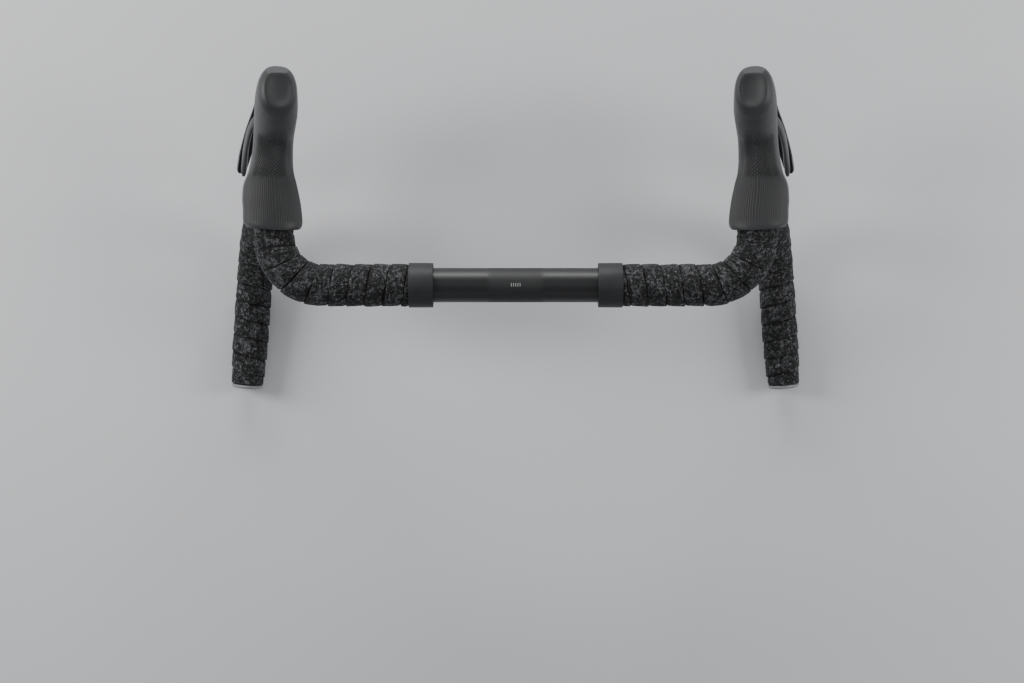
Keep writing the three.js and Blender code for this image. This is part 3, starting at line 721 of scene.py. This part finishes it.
# ---------------- hood
# Oval stations along the hood: y, z, tilt in degrees, x, half width, half height.
HOOD_STATIONS = np.array([
    [50, 0, 0, 1, 24.6, 22.9],
    [54.5, -0.4, 0, 1.2, 27.1, 23.8],
    [68, -1.4, 0, 1.6, 26.8, 24.6],
    [80, -2.4, 0, 2.6, 26.2, 25],
    [93, -3, 0, 3.3, 24.2, 24],
    [105, -2, 5, 2.5, 20.5, 22],
    [122, 1, 12, 1.5, 18.5, 20.5],
    [138, 7, 28, 1.5, 18.2, 22.5],
    [152, 19, 50, 2.2, 19, 25.5],
    [163, 34, 68, 3.4, 19.6, 26.5],
    [170.5, 50, 80, 5.2, 18.6, 25.3],
    [173.5, 60, 86, 6.2, 16.8, 22.6],
    [174, 65, 88, 6.4, 13.2, 17.4],
])
# The horn's top inside its rim: scale of the last station, height over it.
DISH_RUN = ((1.0, 0.0), (0.95, 0.3), (0.89, 0.42), (0.82, 0.28), (0.74, -0.02), (0.64, -0.45), (0.52, -0.9),
            (0.38, -1.25), (0.2, -1.47), (0.02, -1.52))
DISH_INBOARD = 4.2
DISH_BACK = 2.5
FRONT_FACET = ((6, 191.8, 60.4), (0.0, 0.86, 0.51))
REAR_SKEW = 0.03          # the rear edge reaches further back inboard
REAR_RAKE = 0.15          # and further forward low down
HOOD_MEAN_RADIUS = 21.5
HOOD_THICKNESS = 2.3
RIB_PITCH = 1.5
RIB_DEPTH = 0.24
DIAMOND_PITCH = 2.6
DIAMOND_DEPTH = 0.65


def smooth_between(rows, u):
    """Catmull-Rom through rows at the places u (0 is the first row)."""
    last = len(rows) - 1
    u = np.clip(u, 0, last)
    i = np.minimum(u.astype(int), last - 1)
    t = (u - i)[:, None]
    p0, p1, p2, p3 = (rows[np.clip(i + k, 0, last)] for k in (-1, 0, 1, 2))
    return 0.5 * (2 * p1 + (p2 - p0) * t + (2 * p0 - 5 * p1 + 4 * p2 - p3) * t ** 2
                  + (3 * p1 - p0 - 3 * p2 + p3) * t ** 3)


def hood_power(stations):
    """The hood's ovals are squarish at the rear and plain ellipses at the horn."""
    return 2.4 - 0.1 * stations[:, 2, None] / 88


def oval(stations, angle, power):
    """Rings of the stations, in the drop frame; angle is turned from outboard, up is a quarter turn."""
    y, z, tilt, x, w, h = (stations[:, k, None] for k in range(6))
    c, s = np.cos(angle), np.sin(angle)
    across = w * np.sign(c) * np.abs(c) ** (2 / power)
    up = h * np.sign(s) * np.abs(s) ** (2 / power)
    lean = np.radians(tilt)
    return np.stack([x + across, y - np.sin(lean) * up, z + np.cos(lean) * up], -1)


def step(low, high, value):
    t = np.clip((value - low) / (high - low), 0, 1)
    return t * t * (3 - 2 * t)


def hood_rows():
    """Station parameters of the rows: closest where the diamond pattern is."""
    return np.concatenate([np.linspace(0, 1, 8, endpoint=False), np.linspace(1, 4.6, 44, endpoint=False),
                           np.linspace(4.6, 7.7, 112, endpoint=False), np.linspace(7.7, 12, 48)])


def hood_columns():
    top = np.radians(np.linspace(-10, 190, 360, endpoint=False))
    bottom = np.radians(np.linspace(190, 350, 64, endpoint=False))
    return np.concatenate([top, bottom])


def hood_relief(points, angle):
    """Ribs and diamonds on the plain form: height in mm, share of a groove, share of the diamond field."""
    y = points[..., 1]
    across = angle * HOOD_MEAN_RADIUS
    degrees = np.degrees(angle)
    ribs = 0.5 + 0.5 * np.cos(2 * math.pi * across / RIB_PITCH)
    ribbed = step(53, 60, y) * (1 - step(98, 116, y)) * step(-6, 18, degrees) * (1 - step(160, 186, degrees))
    lines = [np.abs(np.sin(math.pi * (across + way * 0.8 * y) / DIAMOND_PITCH)) for way in (-1, 1)]
    grooves = 1 - step(0.04, 0.6, np.minimum(*lines))
    meshed = step(90, 104, y) * (1 - step(132, 146, y))
    meshed = meshed * step(14, 40, degrees) * (1 - step(104, 128, degrees))
    height = -RIB_DEPTH * ribbed * ribs - DIAMOND_DEPTH * meshed * grooves
    return height, np.clip(0.62 * ribbed * ribs + meshed * grooves, 0, 1), meshed


def soft_clip(points, origin, normal, hollow=0.15, round_over=0.5):
    """Presses what stands beyond a plane down to a slightly hollow facet with a soft border."""
    normal = np.asarray(normal, float) / np.linalg.norm(normal)
    height = (points - np.asarray(origin, float)) @ normal
    beyond = round_over * np.logaddexp(0, height / round_over)
    pressed = beyond + hollow * (1 - np.exp(-beyond / 0.9))
    return points - pressed[..., None] * normal


def normals_of(grid):
    along = np.gradient(grid, axis=0)
    wrapped = np.concatenate([grid[:, -1:], grid, grid[:, :1]], 1)
    around = (wrapped[:, 2:] - wrapped[:, :-2])
    normal = np.cross(around, along)
    size = np.linalg.norm(normal, axis=-1, keepdims=True)
    return normal / np.maximum(size, 1e-9)


def hood_grid():
    rows, columns = hood_rows(), hood_columns()
    stations = smooth_between(HOOD_STATIONS, rows)
    rim = HOOD_STATIONS[-1]
    dish = []
    for scale, lift in DISH_RUN[1:]:
        ring = rim.copy()
        ring[0] -= DISH_BACK * (1 - scale)
        ring[1] += lift
        ring[3] -= DISH_INBOARD * (1 - scale)
        ring[4:] *= scale
        dish.append(ring)
    stations = np.concatenate([stations, dish])
    grid = oval(stations, columns[None, :], hood_power(stations))
    rear = 1 - step(52, 84, grid[..., 1])
    grid[..., 1] += (REAR_SKEW * grid[..., 0] + REAR_RAKE * (22 - grid[..., 2])) * rear
    grid = soft_clip(grid, *FRONT_FACET)
    normal = normals_of(grid)
    height, groove, meshed = hood_relief(grid, columns[None, :] + 0 * grid[..., 0])
    strip = np.stack([groove, meshed, 0 * groove], -1)
    height[len(rows):] = 0
    strip[len(rows):] = 0
    return grid + height[..., None] * normal, strip


REAR_CUT = ((0, 50, -5.1), (0, -0.479, -0.8776))   # a point and the way out
MOUTH = ((MECH_X - 14, 143, -60), (MECH_X + 14, 240, 14))


def hood(side, letter):
    grid, strip = hood_grid()
    rows, cols = grid.shape[:2]
    faces = [tuple(f) for f in grid_faces(rows, cols)] + [tuple((rows - 1) * cols + k for k in range(cols))]
    piece = make_mesh(f"hood_skin_{letter}", grid, faces, 1, attribute=strip.reshape(-1, 3))
    with edited(piece) as mesh:
        trim_hood(mesh)
        bmesh.ops.recalc_face_normals(mesh, faces=mesh.faces)
        hem_edges(mesh, HOOD_THICKNESS * MM)
    settle(piece, side, MATERIALS["hood_rubber"])
    finish_piece(piece, "root", (f"hood_{letter}",))


def settle(piece, side, material, crease=45):
    """Takes a mesh from the drop frame to its place in the row frame."""
    co = np.zeros(len(piece.data.vertices) * 3)
    piece.data.vertices.foreach_get("co", co)
    co = in_drop(co.reshape(-1, 3) / MM) * MM
    if side < 0:
        co[:, 0] *= -1
        piece.data.flip_normals()
    piece.data.vertices.foreach_set("co", co.ravel())
    piece.data.materials.append(material)
    piece.data.shade_smooth()
    piece.data.set_sharp_from_angle(angle=math.radians(crease))
    piece.data.update()


def trim_hood(mesh):
    origin, away = (Vector(v) for v in REAR_CUT)
    everything = list(mesh.verts) + list(mesh.edges) + list(mesh.faces)
    bmesh.ops.bisect_plane(mesh, geom=everything, plane_co=origin * MM, plane_no=away, clear_outer=True)
    low, high = (Vector(v) * MM for v in MOUTH)
    margin = 3 * MM

    def near(vert):
        return all(low[k] - margin < vert.co[k] < high[k] + margin for k in range(3))

    for axis, value in ((0, low.x), (0, high.x), (1, low.y), (2, high.z)):
        faces = [f for f in mesh.faces if any(near(v) for v in f.verts)]
        edges = dict.fromkeys(e for f in faces for e in f.edges)
        verts = dict.fromkeys(v for f in faces for v in f.verts)
        normal = [1.0 if k == axis else 0.0 for k in range(3)]
        place = [value if k == axis else 0.0 for k in range(3)]
        bmesh.ops.bisect_plane(mesh, geom=faces + [*edges, *verts], plane_co=place, plane_no=normal)
    inside = [f for f in mesh.faces if all(low[k] < f.calc_center_median()[k] < high[k] for k in range(3))]
    bmesh.ops.delete(mesh, geom=inside, context="FACES")


def hem_edges(mesh, thickness):
    """Folds every open edge inward, so that the skin shows its thickness."""
    mesh.normal_update()
    inward = {v: v.normal.copy() for v in mesh.verts}
    rim = [e for e in mesh.edges if e.is_boundary]
    made = bmesh.ops.extrude_edge_only(mesh, edges=rim)["geom"]
    moved = dict.fromkeys(v for v in made if isinstance(v, bmesh.types.BMVert))
    for vert in moved:
        partner = next(e.other_vert(vert) for e in vert.link_edges if e.other_vert(vert) not in moved)
        vert.co -= inward[partner] * thickness
    bmesh.ops.recalc_face_normals(mesh, faces=mesh.faces)


# ---------------- blade, cap and paddle
BLADE_STATIONS = np.array([
    [182, 5, -88, 2, 9, 2.4],
    [183.2, -8, -94, 2.4, 9, 2.9],
    [177.5, -26, -112, 3.6, 8.5, 3],
    [164.5, -45, -128, 5.8, 7.8, 3],
    [147.5, -65, -132, 10.2, 7, 3],
    [129, -83.5, -138, 13.6, 6.2, 3],
    [117.5, -94, -142, 15.2, 5.4, 2.6],
    [112.6, -98, -144, 15.9, 4.2, 2],
    [110.6, -99.5, -145, 16.2, 2.4, 1.4],
])
PADDLE_STATIONS = np.array([
    [159.6, -9.5, -90, 3, 3, 2.6],
    [159.4, -17.5, -92, 6, 3, 2.6],
    [156, -25, -115, 12.4, 2.1, 3.6],
    [147, -35, -128, 16.6, 2.2, 5.6],
    [132, -49, -138, 18.4, 2.4, 6],
    [118, -60.5, -142, 18.2, 2.8, 4.4],
    [109, -67, -145, 18.1, 2.5, 2.4],
    [105.6, -69.4, -146, 18, 1.5, 1.3],
])
ARM_STATIONS = np.array([
    [167.3, -8, -88, 2, 4, 3.6],
    [169.2, -17, -74, 3.2, 4, 3.4],
    [177.2, -25.5, -48, 3.3, 4, 3],
])
CLOSING = 5   # a lofted end is rounded off in this many steps


def loft_piece(name, stations, rows, sides, power, slot, body, side, replaced, shaping=None):
    """A finished piece lofted through the stations, with rounded ends."""
    run = smooth_between(stations, np.linspace(0, len(stations) - 1, rows))
    angle = angles(sides)
    caps = []
    for end, way in ((0, -1), (-1, 1)):
        for k in range(1, CLOSING):
            turn = k / CLOSING * math.pi / 2
            ring = run[end].copy()
            lean = math.radians(ring[2])
            reach = way * min(ring[4], ring[5]) * 0.7 * math.sin(turn)
            ring[0] += math.cos(lean) * reach
            ring[1] += math.sin(lean) * reach
            ring[4:] *= math.cos(turn) ** 0.8
            caps.append((end, ring))
    start = [ring for end, ring in caps if end == 0][::-1]
    finish = [ring for end, ring in caps if end == -1]
    full = np.array(start + list(run) + finish)
    grid = oval(full, angle[None, :], power)
    if shaping:
        grid = shaping(grid, full, angle)
    # Mask of the painted edge highlight, which only the blade's material reads.
    edge_highlight = painted_edge_highlight(len(full), angle)
    faces = capped(grid_faces(len(full), sides), len(full), sides)
    piece = make_mesh(name, in_drop(grid), faces, side, MATERIALS[slot], crease=50,
                      attribute=edge_highlight.reshape(-1, 3))
    finish_piece(tidied(piece), body, replaced)


def painted_edge_highlight(rows, angle):
    """How strong the painted highlight is: along the outboard edge, most near the tip."""
    along = np.linspace(0, 1, rows)[:, None]
    outboard = step(0.6, 0.85, np.cos(angle))[None, :]
    edge_highlight = (0.5 * step(0.4, 0.5, along) + 0.45 * step(0.6, 0.75, along)) * outboard
    return np.stack([edge_highlight, edge_highlight, edge_highlight], -1)


def hollow_back(grid, stations, angle):
    """Scoops the side of the blade that faces the bar, so that fingertips sit in it."""
    facing = np.clip(-np.sin(angle), 0, 1)[None, :] ** 3
    lean = np.radians(stations[:, 2])[:, None]
    inward = np.stack([0 * lean, -np.sin(lean), np.cos(lean)], -1)
    depth = 0.5 * stations[:, 5, None] * facing * step(0, 8, np.arange(len(grid)))[:, None]
    return grid + inward * depth[..., None]


def pin_hub(name, node, radius, start, end, slot, body, side):
    """The bushing by which a blade or paddle turns on the shift pin."""
    profile = [(2.55, start), (radius, start), (radius, end), (2.55, end)]
    turned_piece(name, profile, SHIFT_LINE, ALONG_Y, MATERIALS[slot], body, side, (node,), True,
                 0.4, 48)


def lever_blade(side, letter):
    body = f"blade_{letter}"
    node = f"brake_blade_{letter}"
    loft_piece(f"blade_shell_{letter}", BLADE_STATIONS, 90, 56, 2.6, "blade", body, side, (node,),
               hollow_back)
    loft_piece(f"blade_arm_{letter}", ARM_STATIONS, 16, 32, 3.0, "dark_alloy", body, side, ())
    pin_hub(f"blade_hub_{letter}", node, 5.4, 163.2, 172.2, "dark_alloy", body, side)
    cap_stations = BLADE_STATIONS[:3].copy()
    lean = np.radians(cap_stations[:, 2])
    out = cap_stations[:, 5] + 1.0
    cap_stations[:, 0] -= np.sin(lean) * out
    cap_stations[:, 1] += np.cos(lean) * out
    cap_stations[:, 4] -= 1.6
    cap_stations[:, 5] = 0.6
    loft_piece(f"blade_plate_{letter}", cap_stations, 30, 48, 3.0, "cap_plastic", body, side,
               (f"blade_cap_{letter}",))


def release_paddle(side, letter):
    body, node = f"paddle_{letter}", f"release_paddle_{letter}"
    loft_piece(f"paddle_fin_{letter}", PADDLE_STATIONS, 70, 40, 2.4, "paddle", body, side, (node,))
    pin_hub(f"paddle_hub_{letter}", node, 5.2, 156.8, 162.5, "paddle", body, side)


# ---------------- mechanism: solids cut from one another
GAP = 0.35
BODY_INSET = 2.75
CAVITY_HALF = 9.6
CARRIER_HALF = 8
HOOK_TURN = math.radians(40)
CLAMP_AT = np.array([0, RAMP_END + (REACH - RAMP_END) * math.sin(HOOK_TURN),
                     HOOK_DEPTH * (math.cos(HOOK_TURN) - 1)])
CLAMP_ALONG = np.array([0, (REACH - RAMP_END) * math.cos(HOOK_TURN), -HOOK_DEPTH * math.sin(HOOK_TURN)])
CLAMP_ALONG = CLAMP_ALONG / np.linalg.norm(CLAMP_ALONG)
CLAMP_OUT = np.array([0, -CLAMP_ALONG[2], CLAMP_ALONG[1]])
BAND_BORE = 13.35
BAND_RADIUS = 14.75
HOSE_X = -10
REACH_SCREW_Z = 14
RESERVOIR_AT = (6, 170)
BLEED_AT = (6, 186)


def raw_loft(name, points, rows, cols):
    """A closed solid from rows rings of cols points each."""
    return tidied(make_mesh(name, points, capped(grid_faces(rows, cols), rows, cols)))


def raw_box(name, low, high):
    x, y, z = zip(low, high)
    ring = [(x[0], y[0]), (x[1], y[0]), (x[1], y[1]), (x[0], y[1])]
    return raw_loft(name, [(a, b, height) for height in z for a, b in ring], 2, 4)


def raw_rod(name, radius, start, end, sides=48):
    start, end = np.asarray(start, float), np.asarray(end, float)
    rings = turned([(radius, 0), (radius, np.linalg.norm(end - start))], start, end - start, sides)
    return raw_loft(name, rings, 2, sides)


def rod_y(name, radius, start, end, x, z, sides=48):
    """A rod straight forward, from y start to y end."""
    return raw_rod(name, radius, (x, start, z), (x, end, z), sides)


def rod_out(name, radius, start, end):
    """A rod out from the bar through the clamp, between two distances."""
    return raw_rod(name, radius, CLAMP_AT + CLAMP_OUT * start, CLAMP_AT + CLAMP_OUT * end)


def raw_block_out(name, size, centre_out):
    """A box set on the clamp, its middle at a distance out from the bar; size is across, out, along."""
    half = np.asarray(size, float) / 2
    corners = np.array([(a, b, c) for c in (-1, 1) for a, b in ((-1, -1), (1, -1), (1, 1), (-1, 1))]) * half
    axes = np.stack([np.array([1.0, 0, 0]), CLAMP_OUT, CLAMP_ALONG])
    points = CLAMP_AT + CLAMP_OUT * centre_out + corners @ axes
    return raw_loft(name, points, 2, 4)


def combine(piece, operation, *others):
    for other in others:
        modifier = piece.modifiers.new("solid", "BOOLEAN")
        modifier.operation = operation
        modifier.solver = "EXACT"
        modifier.object = other
        apply_modifiers(piece)
        mesh = other.data
        bpy.data.objects.remove(other)
        bpy.data.meshes.remove(mesh)
    return piece


def bevelled(piece, width):
    """Softens the sharp edges of a solid cut in the drop frame."""
    tidy_mesh(piece, 1e-5)
    modifier = piece.modifiers.new("edge", "BEVEL")
    modifier.width = width * MM
    modifier.segments = 2
    modifier.limit_method = "ANGLE"
    modifier.angle_limit = math.radians(40)
    apply_modifiers(piece)
    return piece


def placed(piece, name, body, side, letter):
    slot = SLOT_OF[f"{name}_{letter}"]
    piece.name = piece.data.name = f"{name}_fine_{letter}"
    settle(piece, side, MATERIALS[slot], crease=35)
    return finish_piece(piece, body, (f"{name}_{letter}",))


def bar_near_lever():
    """The bar near the lever with a gap round it, as a solid in the drop frame."""
    sides = 48
    s, a = np.meshgrid(np.linspace(CORNER_START + 20, HOOK_END_S + 45, 60), angles(sides), indexing="ij")
    world = BAR.ring_points(s, a, bar_radius(s) + GAP)
    local = world - np.array([DROP_X, 0, 0])
    turned_back = local.copy()
    turned_back[..., 0] = math.cos(FLARE) * local[..., 0] + math.sin(FLARE) * local[..., 2]
    turned_back[..., 2] = -math.sin(FLARE) * local[..., 0] + math.cos(FLARE) * local[..., 2]
    return raw_loft("bar_space", turned_back, len(s), sides)


def lever_body(side, letter):
    """The bracket: the hood's form shrunk, with its bores, cavity and pivot cheeks."""
    u = np.linspace(2, len(HOOD_STATIONS) - 1, 90)
    stations = smooth_between(HOOD_STATIONS, u)
    stations[:, 4:] -= BODY_INSET
    grid = oval(stations, angles(96)[None, :], hood_power(stations))
    body = raw_loft("body", grid, len(u), 96)
    x, (_, pivot_y, pivot_z) = MECH_X, BRAKE_PIVOT
    combine(body, "DIFFERENCE",
            raw_box("top", (-60, 0, 56), (60, 300, 100)),
            bar_near_lever(),
            raw_rod("band_space", 15.2, CLAMP_AT - CLAMP_ALONG * 5.9, CLAMP_AT + CLAMP_ALONG * 5.9),
            raw_block_out("ear_space", (12.7, 10.1, 9.7), 17.3),
            rod_out("bolt_hole", 2.85, 21, 32.5),
            rod_out("bolt_head_hole", 4.55, 27.65, 60),
            raw_box("cavity", (x - CAVITY_HALF, 143, -60), (x + CAVITY_HALF, 240, 30)),
            raw_rod("pivot_hole", 2.8, (-40, pivot_y, pivot_z), (40, pivot_y, pivot_z)),
            rod_y("cylinder", 5.85, 98, 144, x, CYLINDER_Z),
            rod_y("spool_bay", 8.2, 123.5, 144, x, SHIFT_Z),
            rod_y("axle_hole", 2.35, 118, 124, x, SHIFT_Z),
            rod_y("hose_way", 4.5, 60, 88.3, HOSE_X, 0),
            rod_y("hose_seat", 3.2, 88, 97, HOSE_X, 0),
            raw_rod("reservoir", 10.4, (*RESERVOIR_AT, 36), (*RESERVOIR_AT, 60)),
            raw_rod("bleed_hole", 2.35, (*BLEED_AT, 45.5), (*BLEED_AT, 60)))
    tidy_mesh(body, 1e-5)
    placed(body, "lever_body", "root", side, letter)


def clamp(side, letter):
    def ring(radius, half):
        return raw_rod("ring", radius, CLAMP_AT - CLAMP_ALONG * half, CLAMP_AT + CLAMP_ALONG * half, 64)

    band = combine(ring(BAND_RADIUS, 5.5), "UNION", raw_block_out("ear", (12, 9.4, 9), 17.3))
    combine(band, "DIFFERENCE", ring(BAND_BORE, 9), raw_block_out("slot", (30, 5.2, 6.6), 17.6),
            rod_out("hole", 2.85, 14.4, 30))
    placed(bevelled(band, 0.25), "clamp_band", "root", side, letter)
    nut = combine(raw_block_out("nut", (11, 4.4, 5.9), 17.6), "DIFFERENCE", rod_out("thread", 2.85, 12, 24))
    placed(bevelled(nut, 0.3), "clamp_nut", "root", side, letter)


def lever_carrier(side, letter):
    """The yoke between the brake pin and the blade's pin."""
    x, (_, pivot_y, pivot_z) = MECH_X, BRAKE_PIVOT
    outline = rounded([(151, 28), (160, 29), (166, 25), (170, 17), (171, 4), (177, -1), (177, -12.5),
                       (152, -12.5), (152, -1), (149.5, 6.5), (149.5, 11.5), (150.5, 20)], 2.2, True, 5)
    points = [(x + way * CARRIER_HALF, y, z) for way in (-1, 1) for y, z in outline]
    plate = raw_loft("plate", points, 2, len(outline))
    combine(plate, "DIFFERENCE",
            raw_box("out_side", (x + 6.5, 140, -30), (x + 20, 190, 1.5)),
            raw_box("in_side", (x - 20, 140, -30), (x - 6.5, 190, 1.5)),
            raw_box("fork", (-20, 156.4, -30), (30, 172.6, 1.5)),
            rod_y("shift_hole", 2.55, 140, 190, x, SHIFT_Z),
            raw_rod("brake_hole", 2.85, (-20, pivot_y, pivot_z), (30, pivot_y, pivot_z)),
            rod_y("reach_hole", 1.95, 159.5, 190, x, REACH_SCREW_Z))
    placed(bevelled(plate, 0.35), "lever_carrier", f"carrier_{letter}", side, letter)


def swept_wire(points, radius, sides):
    """Rings of a round wire along points."""
    points = np.asarray(points, float)
    tangents = np.gradient(points, axis=0)
    tangents /= np.linalg.norm(tangents, axis=1)[:, None]
    guide = np.array([0.31, 0.87, 0.38])
    first = np.cross(tangents, guide)
    first /= np.linalg.norm(first, axis=1)[:, None]
    second = np.cross(tangents, first)
    angle = angles(sides)
    return (points[:, None] + radius * (np.cos(angle)[None, :, None] * first[:, None]
                                        + np.sin(angle)[None, :, None] * second[:, None]))


def wire_piece(name, points, radius, body, side, letter):
    sides = 14
    rings = swept_wire(points, radius, sides)
    placed(raw_loft(name, rings, len(rings), sides), name, body, side, letter)


def springs(side, letter):
    """A coil spring behind the piston, and a flat spiral beside the brake pivot."""
    turn = np.linspace(0, 1, 240)
    angle = 2 * math.pi * 4 * turn
    coil = np.stack([MECH_X + 3.7 * np.cos(angle), 99.6 + 12.4 * turn, CYLINDER_Z + 3.7 * np.sin(angle)], 1)
    wire_piece("piston_spring", coil, 0.6, "root", side, letter)
    turn = np.linspace(0, 1, 120)
    angle = 2 * math.pi * 2.4 * turn
    reach = 3.35 + 1.1 * turn
    spiral = np.stack([10.8 + 0 * turn, BRAKE_PIVOT[1] + reach * np.cos(angle),
                       BRAKE_PIVOT[2] + reach * np.sin(angle)], 1)
    wire_piece("return_spring", spiral, 0.21, "root", side, letter)


def hose_nut(side, letter):
    nut = rod_y("nut", 4.1, 79, 88, HOSE_X, 0, 6)
    combine(nut, "UNION", rod_y("sleeve", 2.85, 87.5, 96.5, HOSE_X, 0))
    combine(nut, "DIFFERENCE", rod_y("bore", 1.4, 70, 100, HOSE_X, 0))
    placed(bevelled(nut, 0.2), "hose_nut", "root", side, letter)


# Name, body, the line it is turned about as a point and a direction, profile of (radius, height),
# whether the profile closes on itself, and the radius of its hexagon socket.
SHIFT_AXIS = (SHIFT_LINE, ALONG_Y)
CYLINDER_AXIS = (CYLINDER_LINE, ALONG_Y)
RESERVOIR_AXIS = ((*RESERVOIR_AT, 0), (0, 0, 1))
TURNED_PARTS = (
    ("brake_pin", "root", ((0, *BRAKE_PIVOT[1:]), (1, 0, 0)),
     ((0, -10.5), (2.5, -10.5), (2.5, -8.6), (2.2, -8.4), (2.2, -7.9), (2.5, -7.7), (2.5, 15.5), (0, 15.5)),
     False, 1.2),
    ("shift_pin", "carrier", SHIFT_AXIS, ((0, 151.5), (2.2, 151.5), (2.2, 177.5), (0, 177.5)), False, 0.9),
    ("reach_screw", "carrier", ((MECH_X, 0, REACH_SCREW_Z), ALONG_Y),
     ((0, 160), (1.6, 160), (1.6, 171.4), (2.8, 171.4), (2.8, 173.2), (0, 173.2)), False, 1.25),
    ("piston", "piston", CYLINDER_AXIS,
     ((0, 119), (5.3, 119), (5.3, 120.6), (4, 120.6), (4, 123.4), (5.3, 123.4), (5.3, 134), (0, 134)),
     False, 0),
    ("piston_seal", "piston", CYLINDER_AXIS, ((4.4, 121), (5.4, 121), (5.4, 123), (4.4, 123)), True, 0),
    ("pushrod", "piston", CYLINDER_AXIS,
     ((0, 134.4), (4.2, 134.4), (4.2, 136), (2, 137), (2, 148.2), (1.2, 148.9), (0, 148.9)), False, 0),
    ("cable_spool", "spool", SHIFT_AXIS,
     ((2.4, 124.4), (7.4, 124.4), (7.4, 126), (5.6, 127.6), (5.6, 130), (7.4, 131.6), (7.4, 134), (2.4, 134)),
     True, 0),
    ("spool_axle", "root", SHIFT_AXIS, ((0, 118.5), (2, 118.5), (2, 141), (0, 141)), False, 0),
    ("reservoir_cover", "root", RESERVOIR_AXIS,
     ((0, 56.35), (12, 56.35), (12, 58), (11.2, 58.8), (9.6, 58.8), (9.2, 58.3), (7.6, 58.3), (7.2, 58.8),
      (0, 58.8)), False, 0),
    ("diaphragm", "root", RESERVOIR_AXIS,
     ((0, 45), (7, 45), (7.8, 46), (7.8, 53.4), (9.8, 54.4), (9.8, 55.6), (7, 55.6), (6.2, 54.6), (6.2, 46.6),
      (0, 46.6)), False, 0),
    ("bleed_screw", "root", ((*BLEED_AT, 0), (0, 0, 1)),
     ((0, 46), (2, 46), (2, 56.35), (3.2, 56.35), (3.2, 57.8), (0, 57.8)), False, 1.3),
    ("clamp_bolt", "root", (CLAMP_AT, CLAMP_OUT),
     ((0, 15.2), (2.5, 15.2), (2.5, 28), (4.2, 28), (4.2, 32.5), (0, 32.5)), False, 2.3),
)


def turned_parts(side, letter):
    for name, body, (origin, direction), profile, closed, socket in TURNED_PARTS:
        rings = turned(rounded(profile, 0.25, closed), origin, direction, 48)
        piece = tidied(make_mesh(name, rings, grid_faces(len(rings), 48, closed)))
        if socket:
            way = np.asarray(direction, float)
            top = np.asarray(origin, float) + way * profile[-1][1]
            combine(piece, "DIFFERENCE", raw_rod("key", socket, top - way * 1.5 * socket, top + way, 6))
        placed(piece, name, body if body == "root" else f"{body}_{letter}", side, letter)


# ---------------- floor and light
def add_floor():
    low = min(corner[2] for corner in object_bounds()) - 0.0005
    size = 6.0
    mesh = bpy.data.meshes.new("floor")
    corners = [(x * size, y * size, low) for x, y in ((-1, -1), (1, -1), (1, 1), (-1, 1))]
    mesh.from_pydata(corners, [], [(0, 1, 2, 3)])
    s = Shader("pale_floor", Roughness=0.75)
    cloud = s.noise(3.0, detail=3)
    mesh.materials.append(s.put(Base_Color=s.mix(cloud, (0.6, 0.605, 0.615), (0.63, 0.635, 0.645))))
    linked_object("floor", mesh)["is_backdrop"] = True


def add_light(name, place, aim, size, power):
    data = bpy.data.lights.new(name, "AREA")
    data.shape = "RECTANGLE"
    data.size, data.size_y = size
    data.energy = power
    light = linked_object(name, data)
    light.location = place
    light.rotation_euler = (Vector(aim) - Vector(place)).to_track_quat("-Z", "Y").to_euler()


def add_lights():
    add_light("front_softbox", (-0.25, 1.9, 0.55), (0, 0.05, -0.02), (1.7, 0.5), 36)
    add_light("left_softbox", (-1.45, 0.35, 0.8), (0, 0.05, -0.02), (0.5, 1.1), 20)
    add_light("right_softbox", (1.45, 0.15, 0.8), (0, 0.05, -0.02), (0.5, 1.1), 15)
    add_light("rear_fill", (0.2, -1.7, 1.0), (0, 0, 0), (2.2, 1.2), 3)
    add_light("top_softbox", (0.15, 0.3, 2.6), (0, 0.05, -0.02), (1.6, 1.3), 3)
    world = bpy.data.worlds.new("studio")
    world.use_nodes = True
    background = world.node_tree.nodes["Background"].inputs
    background["Color"].default_value = (0.9, 0.93, 1.0, 1)
    background["Strength"].default_value = 0.2
    bpy.context.scene.world = world


# ---------------- everything
paint_cad_nodes()
handlebar()
for side, letter in SIDES:
    bar_tape(side, letter)
    finishing_tape(side, letter)
    bar_end(side, letter)
    hood(side, letter)
    lever_body(side, letter)
    clamp(side, letter)
    lever_carrier(side, letter)
    lever_blade(side, letter)
    release_paddle(side, letter)
    springs(side, letter)
    hose_nut(side, letter)
    turned_parts(side, letter)
add_floor()
add_lights()
